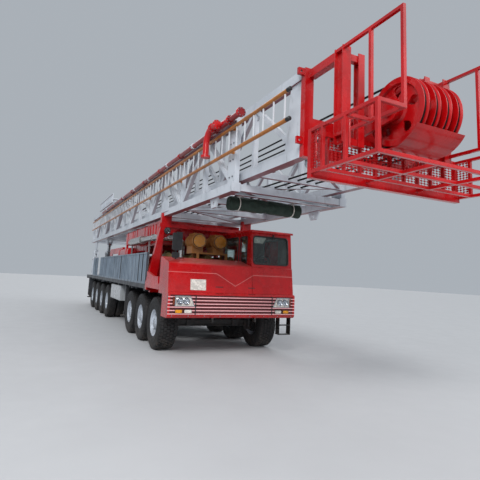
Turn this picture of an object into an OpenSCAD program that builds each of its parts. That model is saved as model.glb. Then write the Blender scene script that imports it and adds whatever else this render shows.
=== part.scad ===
// Mast-type workover rig on a seven-axle carrier, at full size in millimetres.
// X points to the vehicle's left, -Y to its front and Z up. Places along Y are measured
// from the bumper's face, and place() moves them so that the origin lies on the ground
// under the middle of the bounding box.

/* [Carrier] */
// Width over the side panels
body_w = 3100; // [3000:20:3200]
// Height of the bumper's lower edge
bumper_z = 830; // [780:10:880]
// Height of the grille band's upper edge
band_z = 1360; // [1340:5:1400]
// Height of the belt line
belt_z = 1960; // [1900:10:2000]
// Height of the hood's rear edge
hood_z = 2110; // [2060:10:2160]
// Height of the deck
deck_z = 1440; // [1420:5:1460]
// Depth of the deck's side beams
deck_beam_h = 110; // [80:10:140]
// Front end of the deck
deck_y1 = 2060; // [2055:5:2090]
// Rear end of the deck
deck_y2 = 14450; // [14400:10:14480]
// Height of the frame rails' lower edge
rail_z = 900; // [880:10:920]
// Half the distance between the frame rails
rail_x = 430; // [400:10:450]
// Thickness of body plates
plate = 40; // [30:5:50]

/* [Cab] */
// Inner side of the cab, which faces the hood
cab_x = 430; // [430:5:460]
// Rear wall of the cab
cab_y2 = 1895; // [1860:5:1895]
// Height of the cab's roof
cab_roof_z = 2840; // [2800:10:2880]
// Thickness of the cab's walls
cab_wall = 50; // [40:5:60]

/* [Wheels] */
// Tyre diameter
tyre_d = 1180; // [1140:10:1180]
// Rim diameter
rim_d = 600; // [560:10:640]
// Width of a steered wheel's tyre
single_w = 440; // [400:10:440]
// Width of one of a pair of tyres
twin_w = 295; // [270:5:295]
// Distance from the middle to a tyre's outer face
track_x = 1490; // [1480:5:1500]
// Place of the first axle
front_axle_y = 1280; // [1270:5:1300]
// Place of the fourth axle
rear_axle_y = 8150; // [8100:10:8200]
// Distance from one axle to the next
axle_pitch = 1350; // [1340:5:1370]

/* [Lower mast] */
// Distance between the chords of the lower section
lower_w = 2300; // [2280:10:2320]
// Side of a lower chord
lower_chord = 160; // [140:5:170]
// Height of the lower section's bottom chords
lower_z = 3260; // [3250:5:3270]
// Distance from bottom chord to top chord
lower_h = 1250; // [1230:10:1270]
// Front end of the lower section
lower_y1 = -2200; // [-2300:50:-2100]
// Rear end of the lower section
lower_y2 = 16600; // [16500:50:16700]

/* [Upper mast] */
// Room between the chords of the two sections, on each side
slide_room = 40; // [40:1:50]
// Side of an upper chord
upper_chord = 140; // [120:5:140]
// Height of the upper section's bottom chords
upper_z = 3470; // [3465:5:3480]
// Distance from bottom chord to top chord
upper_h = 1130; // [1110:10:1140]
// Front end of the upper section
upper_y1 = -3900; // [-4000:50:-3800]
// Rear end of the upper section
upper_y2 = 13000; // [12900:50:13100]

/* [Mast pivot and lift] */
// Place of the mast's pivot along the carrier
pivot_y = 15000; // [14960:10:15040]
// Height of the mast's pivot
pivot_z = 2600; // [2580:5:2620]
// Radius of the pivot pins
pivot_r = 50; // [40:1:55]
// Distance of both lift pins from the pivot
lift_r = 2400; // [2380:5:2420]
// Half the distance between the lift cylinders
lift_x = 850; // [840:5:860]
// Barrel radius
barrel_r = 140; // [130:2:145]
// Radius of the middle stage
stage_r = 110; // [104:2:112]
// Rod radius
rod_r = 78; // [70:2:80]

/* [Crown] */
// Sheave diameter
sheave_d = 860; // [800:20:900]
// Place of the sheaves' shaft along the mast
sheave_y = -4950; // [-5000:10:-4900]
// Half width of the crown platform
crown_x = 1300; // [1260:10:1340]
// Height of the platform's handrails
crown_rail = 1100; // [1000:10:1150]

/* [Walkways and jacks] */
// Length of one walkway panel
panel_l = 1600; // [1560:10:1620]
// Height of a walkway panel
panel_h = 800; // [760:10:840]
// Thickness of a walkway panel
panel_t = 45; // [35:1:50]
// Radius of a jack's rod
jack_r = 80; // [70:2:85]
// Height of a raised jack foot
jack_z = 340; // [330:5:360]

/* [Hidden] */
eps = 0.3;               // seating gap between pieces that move apart
run = 0.05;              // radial clearance of a running fit
half_w = body_w / 2;
cab_side = half_w - 30;     // the door's hinges stay inside the body width
cab_z = 1285;              // underside of the cab
wheel_r = tyre_d / 2;
twin_gap = 40;
king_x = 1010;           // steering axis
stub_r = 70;             // wheel spindles
front_axles = [for (i = [0:2]) front_axle_y + i * axle_pitch];
rear_axles = [for (i = [0:3]) rear_axle_y + i * axle_pitch];
rail_w = 90;
rail_h = 350;
rail_top = rail_z + rail_h;
rail_end = 14900;
rest_y = 1980;           // middle of the mast rest
low_x = lower_w / 2;
low_bot = lower_z - lower_chord / 2;
low_top = lower_z + lower_h;
up_x = low_x - lower_chord - slide_room;
up_bot = upper_z - upper_chord / 2;
up_top = upper_z + upper_h;
up_roof = up_top + upper_chord / 2;
lift_a = 8.5;            // mast pin above the pivot's level, in degrees
lift_b = 47;             // base pin below the pivot's level, in degrees
lift_pin = 45;
pin_a = [pivot_y - lift_r * cos(lift_a), pivot_z + lift_r * sin(lift_a)];
pin_b = [pivot_y - lift_r * cos(lift_b), pivot_z - lift_r * sin(lift_b)];
lift_len = norm(pin_a - pin_b);
lift_tilt = atan2(pin_b[0] - pin_a[0], pin_a[1] - pin_b[1]);
jack_x = 1300;
jack_y = [5050, 13950];
sheave_z = 3850;
crown_y = -4500;         // crown platform's rear face
crown_z = [3000, 3560];  // its reach in height
front_end = crown_y - 60 - crown_rail;
y_shift = -(front_end + lower_y2) / 2;
rail_in = rail_x - rail_w / 2;
rail_out = rail_x + rail_w / 2;
rail_t = 16;
spring_x = [560, 640];   // inner and outer face of the leaf springs
spring_seat = wheel_r + 75;
leaf_t = 18;
leaf_r = 1800;
leaf_l = [480, 400, 310, 210];
members = [60, 2000, 3850, 5650, 7400, 9200, 11100, 12900, 14500];
member_l = 100;
beam_z = deck_z - deck_beam_h;
grille_x = half_w - 50;
grille_z = [890, 1310];
grille_d = 15;
rib_z = 902;
rib_step = 70;
lamp_x = half_w - 160;   // outer end of the headlamps
lamp_out = [[lamp_x - 430, 1075], [lamp_x, 1075], [lamp_x, 1285], [lamp_x - 330, 1285]];
face_tilt = atan2(80, belt_z - band_z);
crease_h = 475;
screen_x = [480, 1420];
side_win = [[400, 780], [880, 1800]];
shaft_r = 60;            // main drum's shaft, flanges and place
drum_x = 640;
drum_y = 9000;
drum_z = 2050;
flange_x = 560;
flange_r = 560;
guard_x = 1150;          // outer face of the drawworks' guards
hinge_r = 22;
end_post = 300;          // width of the lower section's front posts
cheek_x = 405;
guard_r = sheave_d / 2 + 40;
rail_d = [210, 610, crown_rail - 20];
sides = ["right", "left"];

// Shared shapes

module place() translate([0, y_shift, 0]) children();
module box(lo, hi) translate(lo) cube(hi - lo);
module both() {
    children();
    mirror([1, 0, 0]) children();
}
module on_side(s) mirror([s == "right" ? 1 : 0, 0, 0]) children();
// Cylinder from a to b
module pipe(a, b, r, fn = 32) {
    d = b - a;
    translate(a) rotate([0, acos(d.z / norm(d)), atan2(d.y, d.x)])
        cylinder(h = norm(d), r = r, $fn = fn);
}
// Square-cut bar from a to b, w wide in its upright plane and t across it
module strut(a, b, w, t) {
    d = b - a;
    translate(a) rotate([0, acos(d.z / norm(d)), atan2(d.y, d.x)])
        translate([-w / 2, -t / 2, 0]) cube([w, t, norm(d)]);
}
// Side view outline, given as [y, z] points, from x1 to x2
module slab(x1, x2, points)
    translate([x1, 0, 0]) rotate([90, 0, 90]) linear_extrude(x2 - x1) polygon(points);
// Disc or bore across the vehicle at [y, z]
module cross_pin(x1, x2, c, r, fn = 32)
    translate([x1, c[0], c[1]]) rotate([0, 90, 0]) cylinder(h = x2 - x1, r = r, $fn = fn);
// Band of thickness t on the left of a path
function normal(a, b) = [a[1] - b[1], b[0] - a[0]] / norm(b - a);
function inset(p, t) = [for (i = [0:len(p) - 1])
    let (n1 = i == 0 ? normal(p[0], p[1]) : normal(p[i - 1], p[i]),
         n2 = i == len(p) - 1 ? n1 : normal(p[i], p[i + 1]))
    p[i] + t * (n1 + n2) / (1 + n1 * n2)];
function reversed(p) = [for (i = [len(p) - 1:-1:0]) p[i]];
function band(p, t) = concat(p, reversed(inset(p, t)));
// Zigzag bracing between two chords at x, over bays from y1 to y2
module bracing(x, y1, y2, z1, z2, bays, w, t) {
    step = (y2 - y1) / bays;
    for (i = [0:bays - 1]) {
        a = i % 2 == 0 ? z1 : z2;
        strut([x, y1 + i * step, a], [x, y1 + (i + 1) * step, z1 + z2 - a], w, t);
    }
    for (i = [0:bays])
        box([x - t / 2 - 5, y1 + i * step - w / 2, z1], [x + t / 2 + 5, y1 + i * step + w / 2, z2]);
}

// Outline in the X-Z plane, given as [x, z] points, from y1 to y2
module wall(y1, y2, points)
    translate([0, y2, 0]) rotate([90, 0, 0]) linear_extrude(y2 - y1) polygon(points);

// Disc or bore along the vehicle at [x, z]
module long_pin(y1, y2, c, r, fn = 32)
    translate([c[0], y2, c[1]]) rotate([90, 0, 0]) cylinder(h = y2 - y1, r = r, $fn = fn);

// Rectangle with round corners, in plan
module rounded(lo, hi, r) {
    for (x = [lo[0] + r, hi[0] - r]) for (y = [lo[1] + r, hi[1] - r])
        translate([x, y]) circle(r = r, $fn = 32);
    translate([lo[0] + r, lo[1]]) square([hi[0] - lo[0] - 2 * r, hi[1] - lo[1]]);
    translate([lo[0], lo[1] + r]) square([hi[0] - lo[0], hi[1] - lo[1] - 2 * r]);
}

// Lengthwise bar with a rounded [x, z] section
module rounded_bar(y1, y2, lo, hi, r)
    translate([0, y2, 0]) rotate([90, 0, 0]) linear_extrude(y2 - y1) rounded(lo, hi, r);

// Ring across the vehicle at [y, z]
module ring(x1, x2, c, r1, r2, fn = 48)
    translate([x1, c[0], c[1]]) rotate([0, 90, 0]) rotate_extrude($fn = fn)
        translate([r1, 0]) square([r2 - r1, x2 - x1]);

// Rectangle with round corners through a side, from x1 to x2
module side_hole(x1, x2, y, z, r)
    translate([x1, 0, 0]) rotate([90, 0, 90]) linear_extrude(x2 - x1) rounded([y[0], z[0]], [y[1], z[1]], r);
// Closed outline moved outwards by d
function offset_out(p, d) = [for (i = [0:len(p) - 1])
    let (n1 = normal(p[(i + len(p) - 1) % len(p)], p[i]),
         n2 = normal(p[i], p[(i + 1) % len(p)]))
    p[i] - d * (n1 + n2) / (1 + n1 * n2)];

// Carrier

// Point t degrees round the arc below i leaves, as [y, z] from the top leaf's middle
function leaf_point(t, i) = [(leaf_r + i * leaf_t) * sin(t), leaf_r - (leaf_r + i * leaf_t) * cos(t)];

// Semi-elliptic spring over the axle at y, with its clamp, eyes and hangers
module leaf_spring(y) {
    top = spring_seat + len(leaf_l) * leaf_t;
    last = len(leaf_l) - 1;
    eye_z = top + leaf_r * (1 - cos(asin(leaf_l[0] / leaf_r)));
    a = [for (l = leaf_l) asin(l / leaf_r)];
    // top arc, stepped ends of the leaves and bottom arc
    side = concat([for (k = [5:-1:-5]) leaf_point(a[0] * k / 6, 0)],
                  [for (i = [0:last]) for (d = [0, 1]) leaf_point(-a[i], i + d)],
                  [for (k = [-1:1]) leaf_point(a[last] * k / 2, last + 1)],
                  [for (i = [last:-1:0]) for (d = [1, 0]) leaf_point(a[i], i + d)]);
    slab(spring_x[0], spring_x[1], [for (p = side) [y + p[0], top + p[1]]]);
    for (d = [-75, 60])
        box([spring_x[0] - 12, y + d, spring_seat], [spring_x[1] + 12, y + d + 15, top + 20]);
    box([spring_x[0] - 12, y - 75, top], [spring_x[1] + 12, y + 75, top + 20]);
    for (d = [-1, 1]) {
        c = [y + d * leaf_l[0], eye_z];
        cross_pin(rail_out, spring_x[1] + 10, c, 30, 24);
        slab(rail_out, spring_x[0] - 10,
             [[c[0] - 75, rail_z + 120], [c[0] + 75, rail_z + 120], [c[0] + 40, eye_z - 30],
              [c[0] - 40, eye_z - 30]]);
    }
}

// Housing of a jack, hung from the frame rail by two brackets
module jack_tube(y) {
    top = deck_z - deck_beam_h;
    difference() {
        union() {
            translate([jack_x, y, jack_z + 80]) cylinder(h = top - jack_z - 80, r = jack_r + 30, $fn = 32);
            for (z = [jack_z + 80, top - 60])
                translate([jack_x, y, z]) cylinder(h = 60, r = jack_r + 50, $fn = 32);
            wall(y - 60, y + 60, [[rail_out, rail_z + 20], [jack_x - 40, 1010], [jack_x, 1010],
                                  [jack_x, rail_top], [rail_out, rail_top]]);
        }
        translate([jack_x, y, jack_z + 70])
            cylinder(h = top - jack_z - 110, r = jack_r + run, $fn = 32);
    }
}

module chassis() color("#1b1c1f") {
    both() {
        // frame rails, channels that open inwards
        wall(60, rail_end, [[rail_in, rail_z], [rail_out, rail_z], [rail_out, rail_top],
                            [rail_in, rail_top], [rail_in, rail_top - rail_t],
                            [rail_out - rail_t, rail_top - rail_t],
                            [rail_out - rail_t, rail_z + rail_t], [rail_in, rail_z + rail_t]]);
        for (y = concat(front_axles, rear_axles)) leaf_spring(y);
        for (y = jack_y) jack_tube(y);
        // lift cylinder brackets
        box([rail_out, pin_b[0] - 150, 640], [lift_x + 100, pin_b[0] + 150, 700]);
        slab(rail_out, lift_x - 170, [[pin_b[0] - 110, 700], [pin_b[0] + 110, 700],
                                      [pin_b[0] + 200, 1150], [pin_b[0] - 200, 1150]]);
        for (x = [lift_x - 100, lift_x + 60])
            slab(x, x + 40, [[pin_b[0] - 120, 700], [pin_b[0] + 120, 700],
                             [pin_b[0] + 100, pin_b[1] + 60], [pin_b[0] - 100, pin_b[1] + 60]]);
        cross_pin(lift_x - 100, lift_x + 100, pin_b, lift_pin);
        // cab and hood mounts
        for (y = [560, 1750])
            box([cab_x, y, rail_top], [rail_out, y + 100, cab_z]);
        // air reservoirs between two cross members
        long_pin(members[3] + member_l, members[4], [220, rail_z + rail_h / 2], 130);
        // rear underrun guard
        box([rail_in, rail_end - 100, 600], [rail_out, rail_end - 20, rail_z]);
    }
    rounded_bar(rail_end - 120, rail_end, [-1200, 500], [1200, 620], 30);
    for (y = members)
        box([rail_t - rail_out, y, rail_z + 40], [rail_out - rail_t, y + member_l, rail_top - 30]);
}

module deck() color("#3a3d42") {
    t = 12;
    both() {
        // side beams, channels that open inwards
        wall(deck_y1, deck_y2, [[half_w - 100, beam_z], [half_w, beam_z], [half_w, deck_z],
                                [half_w - 100, deck_z], [half_w - 100, deck_z - t],
                                [half_w - t, deck_z - t], [half_w - t, beam_z + t],
                                [half_w - 100, beam_z + t]]);
        box([lift_x + 200, deck_y1, deck_z - t], [half_w - 50, deck_y2, deck_z]);
        box([rail_in, deck_y1, rail_top], [rail_out, deck_y2, deck_z]);
        for (y = [deck_y1, 3600, 4500, 5600, 7300, 8800, 10200, 11600, 12200, deck_y2 - 80])
            box([rail_x, y, rail_top + 20], [half_w - t, y + 80, deck_z - t]);
        // rope hooks under the side beams
        for (i = [0:14])
            box([half_w - 40, deck_y1 + 150 + i * 860, beam_z - 55],
                [half_w - 20, deck_y1 + 210 + i * 860, beam_z]);
        // steps behind the last axle
        for (y = [13150, 13530]) box([half_w - 200, y, 480], [half_w - 20, y + 20, beam_z]);
        for (z = [480, 780, 1080]) box([half_w - 200, 13150, z], [half_w - 20, 13550, z + 25]);
    }
    box([-lift_x - 200, deck_y1, deck_z - t], [lift_x + 200, 12280, deck_z]);
    box([-half_w, deck_y2 - t, beam_z], [half_w, deck_y2, deck_z]);
}

// Part from x1 to x2 of the raised panel, whose upper edge dips to a point in the middle
module face_panel(x1, x2) translate([0, 30, band_z]) rotate([-face_tilt, 0, 0]) intersection() {
    wall(-6, 1, [[40 - half_w, 5], [half_w - 40, 5], [half_w - 40, crease_h], [450, crease_h],
                 [15, 160], [-470, crease_h], [40 - half_w, crease_h]]);
    box([x1, -20, 0], [x2, 20, crease_h + 20]);
}
module nose() color("#c8141c") {
    face = [[450, bumper_z], [40, bumper_z], [0, bumper_z + 40], [0, band_z - 30],
            [30, band_z], [450, band_z]];
    hood = [[30, band_z], [110, belt_z], [150, belt_z + 30], [710, hood_z], [750, hood_z - 30],
            [750, rail_top + 50]];
    difference() {
        slab(-half_w, half_w, band(face, -plate));
        box([-grille_x, -10, grille_z[0]], [grille_x, grille_d, grille_z[1]]);
        // two air slots
        for (x = [-395, 405]) box([x - 90, -10, band_z - 20], [x + 90, 60, band_z - 8]);
    }
    // ribs and uprights of the grille, which leave room for the lamps
    difference() {
        union() {
            for (i = [0:5])
                box([-grille_x, 0, rib_z + i * rib_step], [grille_x, grille_d, rib_z + i * rib_step + 26]);
            both() box([half_w - 625, 0, grille_z[0]], [half_w - 605, grille_d, grille_z[1]]);
        }
        both() {
            wall(-10, grille_d + 10, offset_out(lamp_out, 6));
            box([lamp_x - 375, -10, 925], [lamp_x - 5, grille_d + 10, 1010]);
            box([half_w - 156, -10, 1094], [half_w - 104, grille_d + 10, 1266]);
        }
    }
    slab(-half_w, cab_x - 5, band(hood, -plate));
    slab(-half_w, -half_w + plate,
         concat([for (i = [0:3]) face[i]], hood, [[450, rail_top + 50]]));
    slab(half_w - plate, half_w, face);
    face_panel(40 - half_w, cab_x - 15);
    both() box([rail_x - 40, 60 + plate, rail_top], [rail_x - 10, 740, rail_top + 60]);
    // steps below the left-hand corner
    for (x = [half_w - 330, half_w - 30]) box([x, 130, 430], [x + 15, 290, bumper_z + plate]);
    for (z = [430, 640]) box([half_w - 330, 130, z], [half_w - 15, 290, z + 20]);
    // tow eyes under the bumper
    both() difference() {
        slab(500, 540, [[10, bumper_z - 90], [110, bumper_z - 90], [150, bumper_z + 10],
                        [30, bumper_z + 10]]);
        cross_pin(490, 550, [60, bumper_z - 45], 25);
    }
}

module lamps() color("#d8dadd") {
    both() {
        // headlamp pair in a housing with a slanted inner end
        difference() {
            wall(-6, grille_d, lamp_out);
            wall(-10, 4, offset_out(lamp_out, -12));
        }
        for (x = [lamp_x - 250, lamp_x - 100])
            translate([x, 4, 1180]) rotate([90, 0, 0]) rotate_extrude($fn = 40)
                polygon([[0, 0], [78, 0], [76, 6], [60, 14], [34, 19], [0, 21]]);
        // turn signal and fog lamp
        for (x = [[lamp_x - 370, lamp_x - 210], [lamp_x - 160, lamp_x - 10]])
            rounded_bar(-8, grille_d, [x[0], 932], [x[1], 1004], 18);
        // side marker, tail lamps
        box([half_w - 150, -4, 1100], [half_w - 110, grille_d, 1260]);
        rounded_bar(deck_y2, deck_y2 + 35, [half_w - 370, 1345], [half_w - 70, 1425], 15);
    }
}

cab_out = [[30, band_z], [110, belt_z], [130, belt_z + 20], [210, cab_roof_z - 50],
           [cab_y2, cab_roof_z - 50], [cab_y2, cab_z], [480, cab_z], [480, band_z]];
cab_win = [belt_z + 90, cab_roof_z - 140];   // window sills and heads
door_y = [620, 1500];
door_z = [1335, cab_roof_z - 120];
hinge_x = cab_side + 15;
hinge_y = door_y[0] - 5;
hinge_z = [1500, 2400];
// Point on the windscreen's outer face at height z
function screen(z) = [130 + (z - belt_z - 20) * 80 / (cab_roof_z - belt_z - 70), z];

module cab() color("#c8141c") {
    difference() {
        slab(cab_x, cab_side, cab_out);
        slab(cab_x + cab_wall, cab_side - cab_wall,
             [[30 + cab_wall, band_z + cab_wall], [110 + cab_wall, belt_z],
              [130 + cab_wall, belt_z + 20], [210 + cab_wall, cab_roof_z - 50 - cab_wall],
              [cab_y2 - cab_wall, cab_roof_z - 50 - cab_wall],
              [cab_y2 - cab_wall, cab_z + cab_wall], [480 + cab_wall, cab_z + cab_wall],
              [480 + cab_wall, band_z + cab_wall]]);
        // windscreen, inner side windows and rear window
        rounded_bar(0, 400, [screen_x[0], cab_win[0]], [screen_x[1], cab_win[1]], 70);
        for (y = side_win) side_hole(cab_x - 10, cab_x + cab_wall + 10, y, cab_win, 50);
        rounded_bar(cab_y2 - 100, cab_y2 + 10, [cab_x + 150, cab_win[0]], [cab_side - 150, cab_win[1]], 60);
        // doorway
        side_hole(cab_side - 100, cab_side + 10, door_y, door_z, 50);
    }
    // roof panel with its overhang and two stiffening ribs
    slab(cab_x - 40, cab_side, [[110, cab_roof_z - 50], [100, cab_roof_z - 30],
                              [130, cab_roof_z], [cab_y2, cab_roof_z],
                              [cab_y2, cab_roof_z - 50]]);
    for (x = [cab_x + 250, cab_x + 700])
        slab(x, x + 60, [[250, cab_roof_z - 5], [270, cab_roof_z + 12], [cab_y2 - 100, cab_roof_z + 12],
                         [cab_y2 - 80, cab_roof_z - 5]]);
    face_panel(cab_x + 10, half_w - 40);
    // hinge leaves and pins
    for (z = hinge_z) {
        box([cab_side, hinge_y - 60, z - 40], [hinge_x, hinge_y, z - 20]);
        translate([hinge_x, hinge_y, z - 40]) cylinder(h = 60, r = 8, $fn = 24);
        translate([hinge_x, hinge_y, z - 40]) cylinder(h = 20, r = 15, $fn = 24);
    }
}

module cab_glass() color("#26343a") {
    a = screen(cab_win[0] - 20);
    b = screen(cab_win[1] + 20);
    intersection() {
        slab(screen_x[0], screen_x[1], [a + [20, 0], b + [20, 0], b + [28, 0], a + [28, 0]]);
        rounded_bar(0, 400, [screen_x[0], cab_win[0]], [screen_x[1], cab_win[1]], 70);
    }
    for (y = side_win) side_hole(cab_x + 20, cab_x + 28, y, cab_win, 50);
    rounded_bar(cab_y2 - 28, cab_y2 - 20, [cab_x + 150, cab_win[0]], [cab_side - 150, cab_win[1]], 60);
}

module cab_interior() color("#2c2c2e") {
    seat_x = 1000;
    floor_z = cab_z + cab_wall;
    box([seat_x - 60, 1150, floor_z], [seat_x + 60, 1450, floor_z + 300]);
    box([seat_x - 250, 1050, floor_z + 300], [seat_x + 250, 1560, floor_z + 430]);
    slab(seat_x - 240, seat_x + 240, [[1500, floor_z + 430], [1600, floor_z + 430],
                                      [1690, floor_z + 1080], [1600, floor_z + 1080]]);
    // dash and steering wheel
    slab(cab_x + 100, cab_side - 100, [[540, floor_z], [600, floor_z], [600, 1700], [480, 2000],
                                     [220, 2000], [220, 1900], [540, 1700]]);
    pipe([seat_x, 485, 1830], [seat_x, 760, 2080], 25, 24);
    translate([seat_x, 760, 2080]) rotate([-47, 0, 0]) {
        rotate_extrude($fn = 32) translate([230, 0]) circle(r = 16, $fn = 16);
        cylinder(h = 20, r = 45, $fn = 24, center = true);
        for (a = [90, 210, 330])
            rotate(a) translate([0, -14, -6]) cube([225, 28, 12]);
    }
}

module cab_door() color("#c8141c") {
    gap = 5;
    pane_y = [door_y[0] + 90, door_y[1] - 90];
    pane_z = [cab_win[0], cab_win[1] - 20];
    difference() {
        side_hole(cab_side - cab_wall, cab_side, door_y + [gap, -gap], door_z + [gap, -gap], 45);
        side_hole(cab_side - 100, cab_side + 10, pane_y, pane_z, 40);
        // pressed panel below the window
        side_hole(cab_side - 6, cab_side + 10, pane_y, [door_z[0] + 120, belt_z - 60], 30);
    }
    box([cab_side - 28, pane_y[0], pane_z[0]], [cab_side - 20, pane_y[1], pane_z[1]]);
    for (z = hinge_z) difference() {
        union() {
            translate([hinge_x, hinge_y, z - 20 + eps]) cylinder(h = 40, r = 15, $fn = 24);
            box([cab_side, hinge_y + 10, z - 20 + eps], [hinge_x, hinge_y + 80, z + 20 + eps]);
        }
        translate([hinge_x, hinge_y, z - 30]) cylinder(h = 80, r = 8 + run, $fn = 24);
    }
    // handle
    slab(cab_side - 5, cab_side + 28, [[door_y[1] - 170, 1900], [door_y[1] - 70, 1895],
                                       [door_y[1] - 70, 1935], [door_y[1] - 170, 1930]]);
}

// Twelve-cylinder engine around x, on the deck
module engine(x) translate([x, 0, 0]) {
    wall(2300, 3850, [[-210, deck_z], [210, deck_z], [250, 1760], [430, 2110], [270, 2240],
                      [60, 1990], [-60, 1990], [-270, 2240], [-430, 2110], [-250, 1760]]);
    for (s = [-1, 1]) {
        long_pin(2340, 3810, [s * 350, 2185], 90);
        // exhaust manifold with its ports
        long_pin(2380, 3800, [s * 395, 1880], 45, 24);
        for (i = [0:5])
            box([min(s * 250, s * 400), 2420 + i * 240, 1855],
                [max(s * 250, s * 400), 2480 + i * 240, 1905]);
    }
    // intake manifold, turbocharger and front pulleys
    long_pin(2380, 3600, [0, 2080], 105);
    long_pin(3560, 3760, [0, 2200], 140);
    cross_pin(-60, 60, [3660, 2200], 190);
    for (c = [[0, 1620, 150], [-150, 1850, 80], [150, 1880, 70], [0, 1930, 70]])
        long_pin(2240, 2310, [c[0], c[1]], c[2]);
    long_pin(3840, 4000, [0, 1720], 270);
}
module engines() color("#5b5f63") {
    both() engine(560);
    // gearbox and angle drive
    wall(4000, 4900, [[-840, deck_z], [840, deck_z], [840, 1900], [740, 2050], [-740, 2050], [-840, 1900]]);
    for (x = [-560, 560]) long_pin(4880, 4960, [x, 1720], 150);
    wall(4900, 5500, [[-350, deck_z], [350, deck_z], [350, 1800], [250, 1900], [-250, 1900], [-350, 1800]]);
    pipe([0, 5480, 1700], [0, 5650, 1700], 120);
}

module air_cleaners() color("#a8743a") {
    z = 2575;
    for (x = [-420, 150]) {
        // body with its end cover, clamps, and the rain cap on its intake
        long_pin(1400, 2000, [x, z], 175, 40);
        long_pin(1385, 1440, [x, z], 186, 40);
        for (y = [1560, 1820]) long_pin(y, y + 40, [x, z], 186, 40);
        box([x - 110, 1500, z + 120], [x + 110, 1900, z + 200]);
        box([x - 150, 1500, 2300], [x + 150, 1900, 2450]);
        long_pin(1990, 2390, [x, z], 80);
    }
    // stand on the frame rails
    box([5 - cab_x, 1500, rail_top], [cab_x - 5, 1900, rail_top + 20]);
    for (x = [5 - cab_x, cab_x - 65]) for (y = [1500, 1840])
        box([x, y, rail_top], [x + 60, y + 60, 2300]);
    box([-570, 1500, 2260], [cab_x - 5, 1900, 2300]);
}

module radiators() color("#b8141c") {
    w = 1150;
    y1 = 2390;
    y2 = 3900;
    top = low_bot - 50;
    for (s = [-1, 1]) for (y = [y1, y2 - 80])
        box([min(s * (w - 80), s * w), y, deck_z], [max(s * (w - 80), s * w), y + 80, 2480]);
    difference() {
        box([-w, y1, 2480], [w, y2, top]);
        for (x = [-w + 320, 0, w - 320]) long_pin(y1 - 10, y1 + 90, [x, (2480 + top) / 2], 270, 48);
        both() box([w - 15, y1 + 80, 2540], [w + 10, y2 - 80, top - 60]);
        // outlet louvres
        for (i = [0:9]) box([-w + 80, y1 + 150 + i * 125, top - 30], [w - 80, y1 + 215 + i * 125, top + 10]);
    }
    // fans
    for (x = [-w + 320, 0, w - 320]) translate([x, y1 + 91, (2480 + top) / 2]) rotate([90, 0, 0]) {
        cylinder(h = 60, r = 70, $fn = 32);
        for (a = [0:45:315]) rotate([0, 0, a]) translate([62, -25, 0]) cube([193, 50, 30]);
    }
    // side stiffeners
    both() for (i = [1:4])
        box([w - 20, y1 + i * (y2 - y1) / 5 - 15, 2530], [w, y1 + i * (y2 - y1) / 5 + 15, top - 50]);
}

module exhausts() color("#c9cbcd") both() {
    r = 75;
    bend = 160;
    y1 = 2240;
    x1 = 1300;
    x0 = 600;
    z1 = 2650;
    // riser, bend, cross run, bend and rear run with a flange at each joint
    pipe([x0, y1, 2050], [x0, y1, z1 - bend], r);
    pipe([x0, y1, 2130], [x0, 2380, 2130], 50);
    translate([x0 + bend, y1, z1 - bend]) rotate([90, 0, 0]) rotate([0, 0, 90])
        rotate_extrude(angle = 90, $fn = 48) translate([bend, 0]) circle(r = r, $fn = 32);
    pipe([x0 + bend, y1, z1], [x1 - bend, y1, z1], r);
    translate([x1 - bend, y1 + bend, z1]) rotate([0, 0, -90])
        rotate_extrude(angle = 90, $fn = 48) translate([bend, 0]) circle(r = r, $fn = 32);
    pipe([x1, y1 + bend, z1], [x1, 5500, z1], r);
    for (y = [2480, 3600, 5200]) long_pin(y, y + 40, [x1, z1], r + 22);
    cross_pin(x0 + bend + 40, x0 + bend + 70, [y1, z1], r + 22);
    // silencer and brackets
    long_pin(3700, 5100, [x1, z1], r + 45);
    for (y = [2900, 5140]) box([x1 - 20, y, deck_z], [x1 + 20, y + 40, z1 - r + 5]);
}

module mast_rest() color("#c8141c") {
    y1 = rest_y - 70;
    y2 = rest_y + 70;
    saddle_z = 2900;
    both() {
        // leaning legs that taper upwards, with feet and forks
        wall(y1, y2, [[half_w - 350, beam_z - 20], [half_w, beam_z - 20], [half_w, deck_z + 40],
                      [half_w - 260, saddle_z + 20], [half_w - 380, saddle_z + 20],
                      [half_w - 250, deck_z + 200], [half_w - 350, deck_z + 120]]);
        box([1030, y1, saddle_z + 100], [low_x + 130, y2, low_bot - eps]);
        for (x = [low_x - lower_chord / 2 - 50, low_x + lower_chord / 2 + 5])
            slab(x, x + 45, [[y1, saddle_z + 100], [y2, saddle_z + 100], [y2, low_bot + 40],
                             [y2 - 35, low_bot + 85], [y1 + 35, low_bot + 85], [y1, low_bot + 40]]);
        box([rail_in, y1, rail_top], [half_w - 100, y2, rail_top + 60]);
        // gusset between leg and beam
        wall(rest_y - 10, rest_y + 10, [[half_w - 790, saddle_z + 5], [half_w - 300, saddle_z + 5],
                                        [half_w - 300, 2560]]);
        // lamp bracket
        box([half_w - 430, y1 - 60, saddle_z - 60], [half_w - 390, rest_y, saddle_z - 20]);
    }
    box([230 - half_w, y1, saddle_z], [half_w - 230, y2, saddle_z + 100]);
    // sill behind the hood on the right, with its front foot
    box([-half_w, 755, deck_z - 70], [-half_w + 100, y2, deck_z + 60]);
    slab(-half_w, -half_w + 60, [[860, deck_z + 50], [y1 + 20, deck_z + 50], [y1 + 20, 1760], [1290, 1655],
                                 [880, 1655]]);
}

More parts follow.
